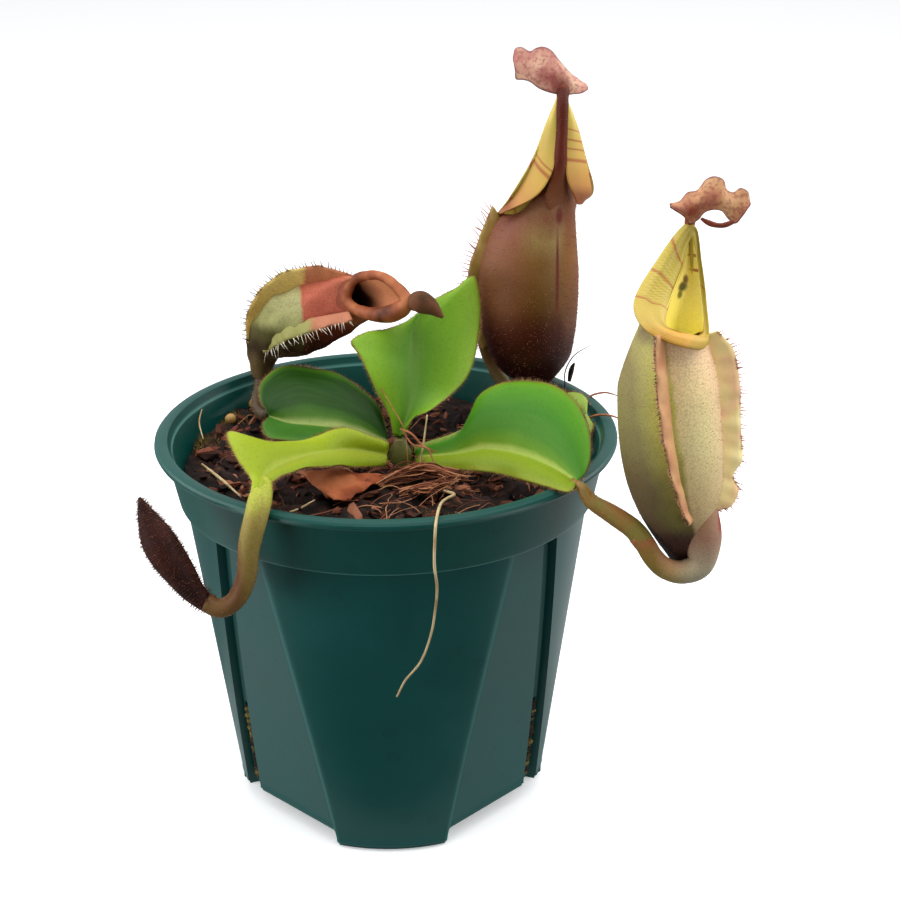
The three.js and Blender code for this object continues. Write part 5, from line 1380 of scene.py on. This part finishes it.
# Lids: thin rippled flaps, pink-brown, on a short neck.
lids = {
    "lid_centre": {
        "upper": [(34, 31, 192.7), (34.5, 30.8, 194.5), (36, 30.3, 195.1), (38.3, 29.5, 194.2),
                  (39.8, 29.2, 195), (41.5, 28.9, 195.4), (43.6, 28.5, 194.6), (45.9, 28.2, 191.8),
                  (48.2, 28, 189.3), (50.7, 28.7, 187), (52.8, 29.3, 185.6), (53.4, 29.5, 184.8)],
        "fold": [(34, 29.6, 192.6), (38.2, 27.4, 190.7), (42, 26, 190.1), (45.8, 25.4, 188.2),
                 (48.9, 26, 186.6), (53.2, 28.2, 184.9)],
        "lower": [(33.8, 28, 192.6), (34.3, 27.8, 189.7), (34.6, 27.7, 187.4), (36.4, 27.1, 187.3),
                  (38.1, 26.5, 186.9), (40.2, 26.1, 185.4), (42.7, 25.6, 184.4), (45, 25.3, 183.9),
                  (47.3, 25.1, 183.7), (49.4, 25.3, 183.9), (51.5, 26, 184), (53.1, 26.5, 184.8)],
        "tones": ["a05a54", "c49480", "d4b494"], "blotch": ((46.3, 26, 186), (2.6, 6, 4), "7a3a30"),
        "neck": [(46.5, 24.8, 183.4), (46.6, 25.8, 185), (46.6, 27.6, 187)], "neckRadii": [1.6, 1.7, 1],
    },
    "lid_right": {
        "upper": [(65.7, -43, 173.6), (67.9, -41.9, 173.7), (70, -40.8, 175.5), (72.1, -40.3, 175.8),
                  (74.1, -40.1, 178.3), (75.9, -40.2, 179), (77.9, -40.6, 178.4), (78.9, -40.9, 176.1),
                  (80.2, -41.3, 175.5), (81.8, -42.1, 176.7), (83.3, -42.8, 176.1), (83.9, -43, 174.1)],
        "fold": [(65.7, -44.6, 173.4), (69.4, -43.4, 172.2), (74, -42.8, 174.4), (78, -43, 174),
                 (81.4, -43.8, 172.6), (83.8, -44.4, 173.8)],
        "lower": [(65.5, -45, 173.2), (66.5, -44.5, 172.4), (69, -43.2, 170.4), (70.5, -42.5, 168.5),
                  (72.4, -42.3, 169.3), (73.9, -42.1, 171), (75.7, -42.1, 171.6), (77.7, -42.6, 171.4),
                  (79.1, -42.9, 169.7), (80.7, -43.5, 168.7), (82.2, -44.3, 170.7), (83.6, -45, 173.4)],
        "tones": ["a86a50", "bc8c62", "c8a078"], "blotch": ((70.8, -43, 171.6), (2.6, 6, 2.4), "7a2418"),
        "neck": [(71, -38.9, 167), (71, -40, 169.4), (71.2, -41.6, 171.6)], "neckRadii": [1.2, 1.3, 1],
        "curl": [(73, -43, 169.9), (74.3, -43, 169.1), (76, -43, 168.4), (77.8, -43, 168.2),
                 (79.6, -43, 168.7), (81, -43, 169.4)],
    },
}


def lidSkin(name, tones, blotch):
    # lid: thin, freckled all over, with a dark purple margin
    material = mottled(name, tones, scale=150, relief=0.2)
    tree = material.node_tree
    ground = tree.nodes["Principled BSDF"].inputs["Base Color"].links[0].from_socket
    where = addNode(tree, "TexCoord", out=3)
    specks = addNode(tree, "TexNoise", {0: where, "Scale": 1100, "Detail": 2})
    mask = addNode(tree, "MapRange", {0: specks, 1: 0.5, 2: 0.6, 3: 0, 4: 0.55})
    near = softSpot(tree, where, *blotch[:2], rim=1.2, core=0.3, full=0.85)
    flow = addNode(tree, "SeparateXYZ", {0: addNode(tree, "TexCoord", out=2)}).node
    twice = addNode(tree, "Math", {0: flow.outputs[0], 1: 2}, operation="MULTIPLY")
    across = addNode(tree, "Math", {0: twice}, operation="FRACT")
    sides = addNode(tree, "ValToRGB", {0: across}, stops=[(0, 0.9), (0.05, 0.0), (0.9, 0.0), (0.95, 0.9)])
    stops = [(0, 0.9), (0.035, 0.0), (0.965, 0.0), (1, 0.9)]
    tips = addNode(tree, "ValToRGB", {0: flow.outputs[1]}, stops=stops)
    margin = addNode(tree, "Math", {0: sides, 1: tips}, operation="MAXIMUM")
    return finish(material, ground, [(mask, "8a4440"), (near, blotch[2]), (margin, "5a2838")])


neckLooks = {"lid_centre": columnSkin, "lid_right": mottled("neck_red", ["7a2418", "b08a48"])}
for name, plan in lids.items():
    look = lidSkin("freckled_" + name, plan["tones"], plan["blotch"])
    rows = bladeRows([plan["lower"], plan["fold"], plan["upper"]], thick=0.55, steps=70, across=20,
                     wave=0.12, waves=4)
    cover(name + "_flap", rows, "lid_skin", look, name)
    cover(name + "_neck", tubeRows(plan["neck"], 12, plan["neckRadii"], 16), "lid_skin", neckLooks[name])
curled = tubeRows(lids["lid_right"]["curl"], 24, [0.5, 1, 0.9, 1, 0.6], 12, 0.6)
cover("lid_right_curl", curled, "lid_skin", mottled("lid_curled_edge", ["5a2018", "8a4430"], scale=200))

beak = {"points": [(7.2, 6.8, 134.4), (9.2, 5.6, 134.9), (12, 4.4, 133.8), (15, 3.2, 131.4)],
        "radii": [2.2, 2.9, 2.5, 1.5, 0.4]}
cover("lid_old_beak", tubeRows(beak["points"], 30, beak["radii"], 20), "withered_skin",
      mottled("withered_lid", ["34230e", "6a4028"], scale=160, roughness=0.8), "lid_old")

bud = {
    "points": [(-41.6, -55.4, 79.6), (-43.4, -54.8, 80.6), (-46.2, -54, 83.2), (-49.4, -52.8, 87.8),
               (-52.8, -51.8, 93.2), (-55.8, -50.8, 100.1), (-57.7, -50.2, 105.8)],
    "radii": [2, 2.8, 3.7, 4.2, 4, 2.4, 0.4],
}
rows = tubeRows(bud["points"], 50, bud["radii"], 26)
flesh = mottled("bud_flesh", ["1c0706", "3c160e"], scale=200, roughness=0.7)
cover("bud_pod", rows, "bud_skin", flesh, "bud")
rust = mottled("rust_bud_hair", ["2c120c", "52281a", "8a5634"],
               scale=400, roughness=0.7, relief=0.1, byPiece=0.9)
scatter("bud_hairs", [hair], fuzz(rows, count=2600, length=1.1, width=0.06), "bud_skin", rust)
print("collars, lids and bud are in")
